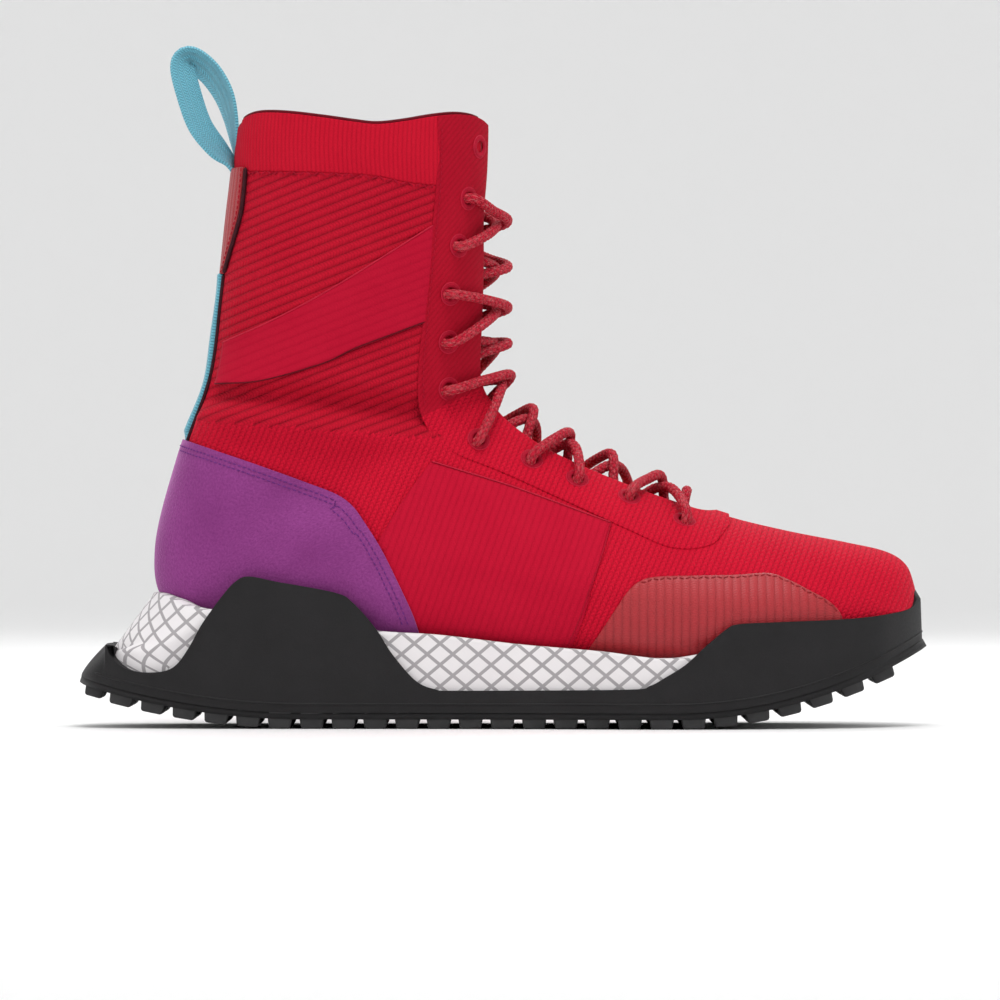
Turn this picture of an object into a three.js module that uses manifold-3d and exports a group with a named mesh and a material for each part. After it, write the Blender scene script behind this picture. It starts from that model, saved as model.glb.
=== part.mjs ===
// A knitted lace-up boxing boot for the right foot, in millimetres.
// +X points to the toe, +Z up, -Y to the outer (lateral) side. The origin is on the ground under
// the middle of the sole. The upper is one smooth skin, described by closed sections that run from
// the toe, fan round the heel and climb the shaft; every layer of the upper is an offset of that skin.
import * as THREE from "three";
import { ParametricGeometry } from "three/addons/geometries/ParametricGeometry.js";
import { mergeVertices } from "three/addons/utils/BufferGeometryUtils.js";
import Module from "manifold-3d";

const wasm = await Module();
wasm.setup();

// ---- driving dimensions ----
const bootLength = 312; // tail of the tread to the toe bumper
const bootWidth = 102; // widest across the tread, at the ball
const collarHeight = 222; // ground to the lowest stretch of the collar edge
const knitThickness = 2.2;
const facingThickness = 1.0;
const overlayThickness = 0.6;
const counterThickness = 1.6;
const stiffenerThickness = 1.1;
const tongueThickness = 3;
const boardThickness = 1.6;
const socklinerThickness = 4;
const rubberFloor = 3; // rubber between the lug roots and the midsole
const rubberWall = 2.5; // rubber outside the midsole
const lugPitch = 11.6;
const lugLength = 8.9;
const lugDepth = 6.5;
const laceDiameter = 3.8;
const eyeletClearance = 0.7; // between the lace and its hole, all round
const eyeletRim = 1.7; // width of the ring round the hole
const eyeletHeight = 0.7;
const agletDiameter = 3.4;
const loopStrap = 11; // width of the pull loop's webbing
const loopThickness = 1.5;
const loopHeight = 44;
const loopOpening = 15;
const loopStandoff = 3.4; // from the back of the collar to the middle of the loop's root
const tapeWidth = 12;
const touchGap = 0.3;
const eyeletHole = laceDiameter / 2 + eyeletClearance; // radius

// ---- the size that the outlines are drawn at, and how they stretch to the driving dimensions ----
const drawnLength = 312;
const drawnWidth = 102;
const drawnCollar = 222;
const ankleLevel = 112;
const along = (x) => (x * bootLength) / drawnLength;
const across = (y) => (y * bootWidth) / drawnWidth;
const shaftStretch = (collarHeight - ankleLevel) / (drawnCollar - ankleLevel);
const up = (z) => (z <= ankleLevel ? z : ankleLevel + (z - ankleLevel) * shaftStretch);

const OUTER_SIDE = -1; // lateral, -Y
const INNER_SIDE = 1; // medial, +Y
const SIDES = [
  ["lateral", OUTER_SIDE],
  ["medial", INNER_SIDE],
];
const beyond = 90; // past the boot's side in Y

// ---- the skin of the upper ----
// Each section is a closed loop in a plane across the boot, from its near end (over the instep, or
// the front of the shaft) to its far end (under the foot, or the back of the shaft).
// nearX, nearZ, farX, farZ, half width, where it is widest (share of the way from near to far),
// the power of its near half (over 1 is peaked), the power of its far half (under 1 is square), centre Y.
const SECTIONS = [
  [152.6, 51.5, 152.6, 44.5, 6, 0.5, 1, 1, 7],
  [149.5, 59.5, 150, 38, 17, 0.6, 1, 0.8, 7],
  [142, 64.5, 143, 34, 27, 0.62, 1, 0.65, 6.5],
  [127, 68, 128, 29.5, 37, 0.64, 1, 0.55, 5.5],
  [105, 72.3, 106, 25.5, 43.5, 0.64, 1.05, 0.5, 3.5],
  [82, 78, 82, 22.5, 46.5, 0.62, 1.15, 0.5, 1],
  [57.5, 87, 52, 22, 44.5, 0.62, 1.25, 0.5, -1],
  [36, 96.5, 18, 24.5, 40, 0.63, 1.25, 0.5, -2],
  [18, 106, -22, 29, 36.5, 0.64, 1.2, 0.5, -1],
  [5, 115.5, -62, 34.5, 34.5, 0.66, 1.1, 0.5, 0],
  [-2, 124, -99, 39, 33, 0.67, 1, 0.55, 0],
  [-4.8, 131, -122.5, 46, 32, 0.64, 0.95, 0.7, 0],
  [-6, 139, -127, 66, 32, 0.58, 0.9, 0.85, 0],
  [-6.2, 147, -119, 99, 32.5, 0.54, 0.9, 0.95, 0],
  [-6.2, 158, -108.5, 129, 33.5, 0.52, 0.9, 0.95, 0],
  [-6.2, 172, -104.5, 158, 34.5, 0.5, 0.9, 0.95, 0],
  [-6.2, 190, -101.5, 186, 35, 0.5, 0.9, 0.95, 0],
  [-5, 208, -99, 208, 35.5, 0.5, 0.9, 0.95, 0],
  [-4.5, 234, -97, 234, 36, 0.5, 0.9, 0.95, 0],
];
const LAST = SECTIONS.length - 1;
const STEPS_PER_SECTION = 2;
const AROUND = 18;
const NUDGE = 0.01; // finite difference for the skin's normal

function catmull(a, b, c, d, f) {
  return b + 0.5 * f * (c - a + f * (2 * a - 5 * b + 4 * c - d + f * (3 * (b - c) + d - a)));
}

function sectionAt(s) {
  const i = Math.min(Math.floor(s), LAST - 1);
  const pick = (k) => SECTIONS[Math.max(0, Math.min(LAST, k))];
  return SECTIONS[0].map((_, k) => catmull(pick(i - 1)[k], pick(i)[k], pick(i + 1)[k], pick(i + 2)[k], s - i));
}

// A point of the skin: s counts the sections from the toe, turn is the angle round the section,
// 0 at its near end, negative on the lateral side.
function skin(s, turn) {
  const [nearX, nearZ, farX, farZ, half, widest, nearPower, farPower, centre] = sectionAt(s);
  const c = Math.cos(turn);
  const power = c >= 0 ? nearPower : farPower;
  const reach = Math.abs(c) ** power;
  const share = c >= 0 ? widest * (1 - reach) : widest + (1 - widest) * reach;
  const y = centre + Math.sign(Math.sin(turn)) * Math.abs(Math.sin(turn)) ** power * half;
  return new THREE.Vector3(along(nearX + (farX - nearX) * share), across(y), up(nearZ + (farZ - nearZ) * share));
}

function skinNormal(s, turn) {
  const low = Math.max(0, s - NUDGE);
  const high = Math.min(LAST, s + NUDGE);
  const lengthwise = skin(high, turn).sub(skin(low, turn));
  const around = skin(s, turn + NUDGE).sub(skin(s, turn - NUDGE));
  return around.cross(lengthwise).normalize();
}

function offsetSkin(s, turn, grow) {
  return skin(s, turn).addScaledVector(skinNormal(s, turn), grow);
}

// The place on the skin that is seen at (x, z) from the given side: s and turn.
function placeOnSkin(x, z, side) {
  let best = { s: LAST / 2, turn: Math.PI / 2, miss: Infinity };
  let spanS = LAST / 2;
  let spanTurn = Math.PI / 2;
  const SPLIT = 14;
  for (let round = 0; round < 9; round++) {
    const middle = best;
    for (let i = -SPLIT; i <= SPLIT; i++) {
      for (let j = -SPLIT; j <= SPLIT; j++) {
        const s = THREE.MathUtils.clamp(middle.s + (spanS * i) / SPLIT, 0, LAST);
        const turn = THREE.MathUtils.clamp(middle.turn + (spanTurn * j) / SPLIT, 0, Math.PI);
        const p = skin(s, side * turn);
        const miss = Math.hypot(p.x - x, p.z - z);
        if (miss < best.miss) best = { s, turn, miss };
      }
    }
    spanS /= 4;
    spanTurn /= 4;
  }
  return { s: best.s, turn: side * best.turn };
}

// ---- solids ----
function solidOf(geometry) {
  const bare = geometry.clone();
  bare.deleteAttribute("normal");
  bare.deleteAttribute("uv");
  const merged = mergeVertices(bare, 1e-3);
  const corners = merged.index.array;
  const kept = [];
  for (let i = 0; i < corners.length; i += 3) {
    const [a, b, c] = [corners[i], corners[i + 1], corners[i + 2]];
    if (a !== b && b !== c && c !== a) kept.push(a, b, c);
  }
  const mesh = { numProp: 3, vertProperties: merged.attributes.position.array, triVerts: new Uint32Array(kept) };
  return new wasm.Manifold(new wasm.Mesh(mesh));
}

// A closed solid whose surface is the rings ringPoint(ring, turn) for ring 0 to rings, with flat ends.
function closedLoft(rings, around, ringPoint) {
  const centre = (ring) => ringPoint(ring, 0).add(ringPoint(ring, Math.PI)).multiplyScalar(0.5);
  const surface = new ParametricGeometry(
    (u, v, target) => {
      const k = Math.round(v * (rings + 2)) - 1;
      const turn = Math.round(u * around) % around;
      const end = k < 0 || k > rings;
      target.copy(end ? centre(k < 0 ? 0 : rings) : ringPoint(k, (turn * 2 * Math.PI) / around));
    },
    around,
    rings + 2,
  );
  return solidOf(surface);
}

// Everything inside the skin grown by grow, up past the collar.
const skinSolids = new Map();
function insideSkin(grow) {
  if (!skinSolids.has(grow)) {
    const rings = LAST * STEPS_PER_SECTION;
    skinSolids.set(
      grow,
      closedLoft(rings, AROUND, (ring, turn) => offsetSkin(ring / STEPS_PER_SECTION, turn, grow)),
    );
  }
  return skinSolids.get(grow);
}

// Cuts only: the same, with its top end lifted so that it opens whatever it is taken from.
function hollowOf(grow) {
  const rings = LAST * STEPS_PER_SECTION;
  const lift = 12;
  return closedLoft(rings + 1, AROUND, (ring, turn) => {
    const p = offsetSkin(Math.min(ring, rings) / STEPS_PER_SECTION, turn, grow);
    if (ring > rings) p.z += lift;
    return p;
  });
}

const layer = (from, to) => insideSkin(to).subtract(hollowOf(from));

// A prism across the boot, from Y low to high, with the given side-view outline of [x, z] points.
function sidePrism(outline, low, high) {
  const shape = new THREE.Shape(outline.map(([x, z]) => new THREE.Vector2(along(x), up(z))));
  const geometry = new THREE.ExtrudeGeometry(shape, { depth: high - low, bevelEnabled: false });
  geometry.rotateX(Math.PI / 2);
  geometry.translate(0, high, 0);
  return solidOf(geometry);
}

// An upright prism of a plan outline of Vector2 points.
function planPrism(points, low, high) {
  const geometry = new THREE.ExtrudeGeometry(new THREE.Shape(points), { depth: high - low, bevelEnabled: false });
  geometry.translate(0, 0, low);
  return solidOf(geometry);
}

// The prism of an outline on one side of the boot only, starting inner mm from the middle.
const halfPrism = (outline, side, inner = 0) =>
  side < 0 ? sidePrism(outline, -beyond, -inner) : sidePrism(outline, inner, beyond);

// The outline with every point moved out from its middle by the margin.
function grown(outline, margin) {
  const middle = [0, 1].map((k) => outline.reduce((sum, p) => sum + p[k], 0) / outline.length);
  return outline.map((p) => {
    const reach = Math.hypot(p[0] - middle[0], p[1] - middle[1]);
    return p.map((value, k) => value + ((value - middle[k]) * margin) / reach);
  });
}

const boot = new THREE.Group();
function add(name, solid, colour, roughness, metalness = 0) {
  const { vertProperties, triVerts } = solid.getMesh();
  const geometry = new THREE.BufferGeometry();
  geometry.setAttribute("position", new THREE.BufferAttribute(new Float32Array(vertProperties), 3));
  geometry.setIndex(new THREE.BufferAttribute(new Uint32Array(triVerts), 1));
  const flat = geometry.toNonIndexed();
  flat.computeVertexNormals();
  const mesh = new THREE.Mesh(flat, new THREE.MeshStandardMaterial({ color: colour, roughness, metalness }));
  mesh.name = name;
  boot.add(mesh);
  return mesh;
}

const RED_KNIT = 0xc00a26;
const DARK_RED_KNIT = 0xa00020;
const TONAL_RED = 0xb40432;
const PINK_FILM = 0xce4a58;
const PURPLE_SUEDE = 0x8a3c7a;
const TEAL_WEBBING = 0x4aa2ba;
const WHITE_FOAM = 0xe8e2e2;
const BLACK_RUBBER = 0x262627;
const GREY_BOARD = 0x8a8a86;

// ---- outlines, drawn in side view ----
const ankleFrontLow = 111.5;
const ankleBackLow = 106.5;
const ankleFrontHigh = 117.6;
const ankleBackHigh = 123;
const farBack = -170;
const farFront = 175;
const skyHigh = 260;

const FOOT_ZONE = [
  [farBack, 0],
  [farFront, 0],
  [farFront, ankleFrontLow],
  [0, ankleFrontLow],
  [-110, ankleBackLow],
  [farBack, ankleBackLow],
];
const ANKLE_ZONE = [
  [farBack, ankleBackLow + touchGap],
  [-110, ankleBackLow + touchGap],
  [0, ankleFrontLow + touchGap],
  [60, ankleFrontLow + touchGap],
  [60, ankleFrontHigh],
  [0, ankleFrontHigh],
  [-110, ankleBackHigh],
  [farBack, ankleBackHigh],
];
const COLLAR_SEAM = [
  [farBack, 205.5],
  [-94, 204.5],
  [-50, 202.5],
  [-26, 199],
  [40, 197],
];
const COLLAR_EDGE = [
  [farBack, 221.5],
  [-98, 221.5],
  [-92.5, 225.6],
  [-80, 225.2],
  [-55, 222],
  [-46, 221],
  [-36, 222.4],
  [-17, 225],
  [-8, 223.6],
  [-4, 219],
  [40, 215],
];
const SHAFT_ZONE = [
  [farBack, ankleBackHigh + touchGap],
  [-110, ankleBackHigh + touchGap],
  [0, ankleFrontHigh + touchGap],
  [60, ankleFrontHigh + touchGap],
  ...COLLAR_SEAM.slice().reverse(),
];
const COLLAR_ZONE = [...COLLAR_SEAM.map(([x, z]) => [x, z + touchGap]), ...COLLAR_EDGE.slice().reverse()];
const ABOVE_COLLAR = [...COLLAR_EDGE, [40, skyHigh], [farBack, skyHigh]];

// The throat: the slot between the facings, from the collar to the toe end of the lacing.
const THROAT = [
  [-30, skyHigh],
  [-34, 150],
  [-34, 124],
  [-22, 105],
  [0, 92],
  [30, 80],
  [58, 70],
  [74, 72],
  [80, 90],
  [40, 130],
  [40, skyHigh],
];
const throatClearance = 7.2; // half the slot's width, less one strand of the lace
const throatEdge = throatClearance + laceDiameter; // from the middle to the inner edge of a facing
const SHAFT_FACING = [
  [-24, skyHigh],
  [-25.5, 198],
  [-29, 157],
  [-32.5, 121],
  [0, ankleFrontHigh + touchGap],
  [40, ankleFrontHigh + touchGap],
  [40, skyHigh],
];
const VAMP_FACING = [
  [-30, ankleFrontLow - 2.5],
  [-27, 98],
  [-10, 91],
  [20, 78],
  [50, 66],
  [70, 62],
  [82, 70],
  [84, 90],
  [40, ankleFrontLow],
];

const HEEL_COUNTER = [
  [-140, 106],
  [-118.3, 105.5],
  [-112.8, 104],
  [-103.3, 101],
  [-90, 96.3],
  [-73.6, 90.4],
  [-60.4, 85.3],
  [-55.3, 81.3],
  [-50.9, 75.4],
  [-44.3, 65.2],
  [-37.7, 52],
  [-33.3, 42.8],
  [-30.8, 36.3],
  [-30, 31],
  [-60, 36.5],
  [-100, 41],
  [-140, 41],
];
const SADDLE_PANEL = [
  [-26.4, 97.7],
  [-12, 93.5],
  [15.4, 84],
  [39.5, 75],
  [32, 52],
  [22, 27],
  [-28.5, 31],
  [-33, 60],
  [-36.5, 70],
];
const TOE_GUARD = [
  [31.5, 29.7],
  [36.6, 37],
  [41.7, 44.7],
  [45.8, 50.5],
  [50.2, 54.2],
  [56, 55.3],
  [85.3, 56],
  [100.3, 56.4],
  [104.7, 53.8],
  [111.3, 50.5],
  [118, 47.2],
  [122, 43.9],
  [123.8, 41],
  [124, 36],
  [60, 26.5],
];
const STRAP_OVERLAY = [
  [-102.5, 141.7],
  [-88.3, 147.6],
  [-73.6, 154.9],
  [-60, 162.6],
  [-43.6, 172.8],
  [-28.6, 182.4],
  [-30.5, 148.3],
  [-39.9, 144.3],
  [-54.2, 138.8],
  [-65.9, 133.3],
  [-88.3, 127.1],
  [-104.5, 126.3],
];
const HEEL_TAB = [
  [-120, 206],
  [-94.8, 206],
  [-95.4, 197],
  [-96.7, 188],
  [-100, 176],
  [-102, 167],
  [-120, 167],
];
const SPINE_TAPE = [
  [-130, 106.8],
  [-100, 106.8],
  [-95, 140],
  [-95, 166.7],
  [-130, 166.7],
];

// ---- the sole ----
const halfLength = drawnLength / 2;
const halfWidth = drawnWidth / 2;
const heelLift = 13; // of the tail, over the ground
const heelRise = -72; // where the tread leaves the ground behind
const toeLift = 26;
const toeRise = 62; // where it leaves the ground in front
const groundLine = (x) => {
  const back = Math.max(0, heelRise - x) / (heelRise + halfLength);
  const front = Math.max(0, x - toeRise) / (halfLength - toeRise);
  return heelLift * back ** 2 + toeLift * front ** 2;
};
const treadLine = (x) => groundLine(x) + lugDepth;

const PLAN = [
  [-156, 0],
  [-153.5, -20],
  [-146, -31],
  [-130, -37.5],
  [-100, -40],
  [-60, -40.5],
  [-22, -42],
  [12, -45],
  [42, -49.5],
  [68, -51],
  [92, -48.5],
  [115, -42],
  [135, -31],
  [147, -17],
  [154.5, -2],
  [156, 8],
  [154.5, 18],
  [148, 30],
  [135, 42],
  [115, 49],
  [92, 51],
  [68, 49.5],
  [42, 46],
  [12, 42],
  [-22, 40],
  [-60, 40],
  [-100, 40],
  [-130, 37.5],
  [-146, 31],
  [-153.5, 20],
];
const PLAN_STEPS = 48;

// The tread's plan outline, pulled in by inset.
function planOutline(inset) {
  const curve = new THREE.CatmullRomCurve3(
    PLAN.map(([x, y]) => new THREE.Vector3(x, y, 0)),
    true,
  );
  const points = [];
  for (let i = 0; i < PLAN_STEPS; i++) {
    const p = curve.getPoint(i / PLAN_STEPS);
    const t = curve.getTangent(i / PLAN_STEPS);
    const x = THREE.MathUtils.clamp(p.x, -halfLength, halfLength);
    const y = THREE.MathUtils.clamp(p.y, -halfWidth, halfWidth);
    points.push(new THREE.Vector2(along(x) - t.y * inset, across(y) + t.x * inset));
  }
  return points;
}

const RUBBER_EDGE = [
  [-156, 20.5],
  [-152, 26],
  [-145.8, 30.6],
  [-144.6, 27.5],
  [-140.6, 23.4],
  [-134.4, 20.9],
  [-124.9, 20.9],
  [-119.4, 23.4],
  [-114.6, 30],
  [-109.9, 38.5],
  [-102.5, 48.7],
  [-97.8, 53.8],
  [-93, 55.7],
  [-82.8, 53.8],
  [-61.5, 49.8],
  [-54.9, 46.1],
  [-46.5, 36.6],
  [-40.6, 27.5],
  [-32.2, 17.9],
  [-24.9, 14.6],
  [-15.7, 14],
  [44.3, 14.6],
  [53.1, 15.9],
  [59, 19],
  [66.6, 23.8],
  [74, 30.4],
  [81.7, 36.6],
  [86, 38.6],
  [122.3, 39.9],
  [137.7, 41],
  [150, 43],
  [151.5, 53.5],
  [154.5, 54.8],
  [156, 52.7],
  [156, 36],
  [153.8, 31.5],
];
const FOAM_EDGE = [
  [-143.8, 29.9],
  [-128.6, 49.6],
  [-120, 47.4],
  [-106, 43.5],
  [-60, 38.5],
  [-46.5, 35.5],
  [-23, 34],
  [7, 30.6],
  [36.6, 28.2],
  [61.5, 25.6],
  [85, 29],
  [120, 33],
  [146, 39],
];

// The underside of the tread as a comb of lugs, from the toe to the tail.
function lugComb() {
  const points = [];
  const first = 144;
  const last = -152;
  for (let front = first; front - lugLength > last; front -= lugPitch) {
    const back = front - lugLength;
    points.push([front, treadLine(front)]);
    points.push([front, groundLine(front)]);
    points.push([back, groundLine(back)]);
    points.push([back, treadLine(back)]);
  }
  return points;
}

function foamBlock(margin) {
  const floor = [];
  const front = FOAM_EDGE[FOAM_EDGE.length - 1][0];
  const back = -138;
  const step = 14;
  for (let x = front; x >= back; x -= step) {
    floor.push([x, treadLine(x) + rubberFloor + touchGap - margin]);
  }
  const edge = FOAM_EDGE.map(([x, z]) => [x, z + margin]);
  return sidePrism([...edge, ...floor], -beyond, beyond).intersect(
    planPrism(planOutline(rubberWall + touchGap - margin), 0, skyHigh),
  );
}

// What the upper takes out of the sole, with a gap all round.
function upperClearance() {
  let room = insideSkin(touchGap);
  for (const [outline, thickness] of [
    [HEEL_COUNTER, counterThickness],
    [SADDLE_PANEL, overlayThickness],
    [TOE_GUARD, overlayThickness],
  ]) {
    const around = insideSkin(touchGap + thickness + touchGap);
    room = room.add(around.intersect(sidePrism(grown(outline, touchGap), -beyond, beyond)));
  }
  return room;
}

const upperRoom = upperClearance();
const channelWidth = 9; // the groove along the middle of the tread
const channelFront = 118;
const channelBack = -128;
const channel = sidePrism(
  [
    [channelBack, -1],
    [channelFront, -1],
    [channelFront, treadLine(channelFront) - 1],
    [60, treadLine(60) - 1],
    [-60, treadLine(-60) - 1],
    [channelBack, treadLine(channelBack) - 1],
  ],
  -channelWidth / 2,
  channelWidth / 2,
);

const outsole = sidePrism([...RUBBER_EDGE, ...lugComb()], -beyond, beyond)
  .intersect(planPrism(planOutline(0), -1, skyHigh))
  .subtract(foamBlock(touchGap))
  .subtract(upperRoom)
  .subtract(channel);
add("outsole", outsole, BLACK_RUBBER, 0.75);
add("midsole", foamBlock(0).subtract(upperRoom), WHITE_FOAM, 0.6);

// ---- inside the foot ----
const liningGrow = -knitThickness - touchGap;
const insideLining = liningGrow - stiffenerThickness - touchGap;

function underfoot(low, high) {
  const line = (lift) => SECTIONS.slice(1, 12).map((section) => [section[2], section[3] + lift]);
  const ends = line(low);
  ends[0] = [farFront, ends[0][1]];
  ends[ends.length - 1] = [farBack, ends[ends.length - 1][1]];
  const tops = line(high);
  tops[0] = [farFront, tops[0][1]];
  tops[tops.length - 1] = [farBack, tops[tops.length - 1][1]];
  return sidePrism([...ends, ...tops.reverse()], -beyond, beyond);
}

const boardSink = 1; // below the lowest of the lining, so that the board's underside follows it
const boardLow = -insideLining - boardSink;
const boardHigh = -insideLining + boardThickness;
const board = insideSkin(insideLining).intersect(underfoot(boardLow, boardHigh));
add("strobel_board", board, GREY_BOARD, 0.9);
const linerLow = boardHigh + touchGap;
const liner = insideSkin(insideLining).intersect(underfoot(linerLow, linerLow + socklinerThickness));
add("sockliner", liner, DARK_RED_KNIT, 0.9);

const stiffenerInset = 4; // from the edge of the heel counter
const STIFFENER_ZONE = grown(HEEL_COUNTER, -stiffenerInset);
add(
  "heel_stiffener",
  layer(liningGrow - stiffenerThickness, liningGrow).intersect(sidePrism(STIFFENER_ZONE, -beyond, beyond)),
  GREY_BOARD,
  0.8,
);
const PUFF_ZONE = [
  [112, 46],
  [126, 46],
  [farFront, 46],
  [farFront, 80],
  [104, 80],
];
add(
  "toe_puff",
  layer(liningGrow - stiffenerThickness, liningGrow).intersect(sidePrism(PUFF_ZONE, -beyond, beyond)),
  GREY_BOARD,
  0.8,
);

// ---- the knitted upper ----
const throatHalf = 29;
const throatCut = sidePrism(THROAT, -throatHalf, throatHalf);
const knit = layer(-knitThickness, 0);
add("knit_foot", knit.intersect(sidePrism(FOOT_ZONE, -beyond, beyond)).subtract(throatCut), RED_KNIT, 0.95);
add("knit_ankle", knit.intersect(sidePrism(ANKLE_ZONE, -beyond, beyond)).subtract(throatCut), RED_KNIT, 0.95);
add("knit_shaft", knit.intersect(sidePrism(SHAFT_ZONE, -beyond, beyond)).subtract(throatCut), RED_KNIT, 0.95);
add("collar_band", knit.intersect(sidePrism(COLLAR_ZONE, -beyond, beyond)).subtract(throatCut), RED_KNIT, 0.95);

// ---- layers stitched or bonded on the knit ----
const counterLayer = layer(touchGap, touchGap + counterThickness);
add("heel_counter", counterLayer.intersect(sidePrism(HEEL_COUNTER, -beyond, beyond)), PURPLE_SUEDE, 0.95);
const overlayLayer = layer(touchGap, touchGap + overlayThickness);
for (const [sideName, side] of SIDES) {
  const saddle = overlayLayer
    .intersect(halfPrism(SADDLE_PANEL, side))
    .subtract(sidePrism(grown(VAMP_FACING, 2 * touchGap), -beyond, beyond));
  add("saddle_panel_" + sideName, saddle, TONAL_RED, 0.8);
  const guard = overlayLayer.intersect(halfPrism(TOE_GUARD, side));
  add("toe_guard_" + sideName, guard, PINK_FILM, 0.45);
  const strap = overlayLayer.intersect(halfPrism(STRAP_OVERLAY, side, tapeWidth / 2 + touchGap));
  add("shaft_strap_" + sideName, strap, TONAL_RED, 0.8);
}
add("heel_tab", counterLayer.intersect(sidePrism(HEEL_TAB, -beyond, beyond)), PINK_FILM, 0.6);
const tapePrism = sidePrism(SPINE_TAPE, -tapeWidth / 2, tapeWidth / 2);
add("spine_tape", counterLayer.intersect(tapePrism), TEAL_WEBBING, 0.8);

// ---- facings, eyelets and tongue ----
// Eyelets from the collar down, in side view. The shaft facing holds the first six.
const EYELETS = [
  [-9.5, 213.5],
  [-13.5, 194.4],
  [-16.8, 176.9],
  [-19.8, 159.3],
  [-20.5, 141.7],
  [-20.5, 124.5],
  [-9.2, 105.5],
  [10.3, 98],
  [27.1, 90.8],
  [46.1, 84],
  [66.3, 75.5],
];
const SHAFT_EYELETS = 6;
const EYELET_SIDES = 8;
const ringSeat = touchGap + facingThickness + touchGap;
const places = Object.fromEntries(
  SIDES.map(([sideName, side]) => [sideName, EYELETS.map(([x, z]) => placeOnSkin(along(x), up(z), side))]),
);

// A geometry made along +Y, stood on the skin at a place.
function standOnSkin(geometry, place, height) {
  const normal = skinNormal(place.s, place.turn);
  geometry.applyQuaternion(new THREE.Quaternion().setFromUnitVectors(new THREE.Vector3(0, 1, 0), normal));
  const at = offsetSkin(place.s, place.turn, height);
  return geometry.translate(at.x, at.y, at.z);
}

function eyeletRing(place) {
  const rim = eyeletHole + eyeletRim;
  const profile = [
    new THREE.Vector2(eyeletHole, 0),
    new THREE.Vector2(rim, 0),
    new THREE.Vector2(rim, eyeletHeight),
    new THREE.Vector2(eyeletHole, eyeletHeight),
    new THREE.Vector2(eyeletHole, 0),
  ];
  return solidOf(standOnSkin(new THREE.LatheGeometry(profile, EYELET_SIDES), place, ringSeat));
}

function eyeletPunch(place) {
  const depth = 8;
  return solidOf(standOnSkin(new THREE.CylinderGeometry(eyeletHole, eyeletHole, depth, EYELET_SIDES), place, ringSeat));
}

const facingLayer = layer(touchGap, touchGap + facingThickness);
for (const [sideName, side] of SIDES) {
  for (const [name, outline, from, to] of [
    ["shaft_facing_", SHAFT_FACING, 0, SHAFT_EYELETS],
    ["vamp_facing_", VAMP_FACING, SHAFT_EYELETS, EYELETS.length],
  ]) {
    let facing = facingLayer.intersect(halfPrism(outline, side, throatEdge));
    facing = facing.subtract(sidePrism(ABOVE_COLLAR, -beyond, beyond));
    for (const place of places[sideName].slice(from, to)) {
      facing = facing.subtract(eyeletPunch(place));
    }
    add(name + sideName, facing, DARK_RED_KNIT, 0.95);
  }
  places[sideName].forEach((place, k) => {
    const number = String(k + 1).padStart(2, "0");
    add(`eyelet_${number}_${sideName}`, eyeletRing(place), TONAL_RED, 0.7);
  });
}

const laceSink = 1.5; // from the skin in to a strand that runs under a facing
const tongueSlack = 0.7; // between that strand and the tongue
const tongueTop = -laceSink - laceDiameter - tongueSlack;
const TONGUE_ZONE = [
  [-40, skyHigh],
  [-40, 140],
  [-34, 118],
  [-14, 92],
  [20, 76],
  [56, 62],
  [76, 62],
  [76, 90],
  [40, 130],
  [40, skyHigh],
];
const tongueHalf = 23;
const tongue = layer(tongueTop - tongueThickness, tongueTop)
  .intersect(sidePrism(TONGUE_ZONE, -tongueHalf, tongueHalf))
  .subtract(sidePrism(ABOVE_COLLAR, -beyond, beyond));
add("tongue", tongue, DARK_RED_KNIT, 0.95);

// ---- the lace ----
// One braided cord. It starts under one facing above the second eyelet, criss-crosses down to the toe
// end of the throat, crosses there and climbs back, and ends under the other facing.
const laceUnder = -laceSink - laceDiameter / 2;
const laceOver = ringSeat + eyeletHeight + laceDiameter / 2 + touchGap;
const crossingLow = 3.4;
const crossingHigh = crossingLow + laceDiameter + 2 * touchGap;
const barHeight = 4.4; // of the strand straight across at the toe end
const edgeTurn = 0.5; // a strand passes a facing's edge this share of the way to the eyelet
const topRow = 1; // the second eyelet down
const tuckEnd = 0.8; // the row where each end stops and its aglet starts, under the facing
const tuckTurn = 0.62;
const lastRow = EYELETS.length - 1;
const agletGap = laceDiameter / 2; // from the end of the lace to its aglet

// A point of the lace's route: rows count down from the collar and may lie between two rows.
function lacePoint(row, side, share, height) {
  const [above, below] = [Math.floor(row), Math.ceil(row)];
  const [a, b] = [above, below].map((k) => places[side < 0 ? "lateral" : "medial"][k]);
  const s = THREE.MathUtils.lerp(a.s, b.s, row - above);
  const turn = THREE.MathUtils.lerp(a.turn, b.turn, row - above) * share;
  return offsetSkin(s, turn, height);
}

// From the eyelet in row, on side, across and one row down or up to the other side's eyelet.
function crossing(row, side, step, height) {
  return [
    lacePoint(row + step * 0.25, side, edgeTurn, laceOver),
    lacePoint(row + step * 0.5, side, 0, height),
    lacePoint(row + step * 0.75, -side, edgeTurn, laceUnder),
    lacePoint(row + step, -side, 1, laceUnder),
    lacePoint(row + step, -side, 1, laceOver),
  ];
}

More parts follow.
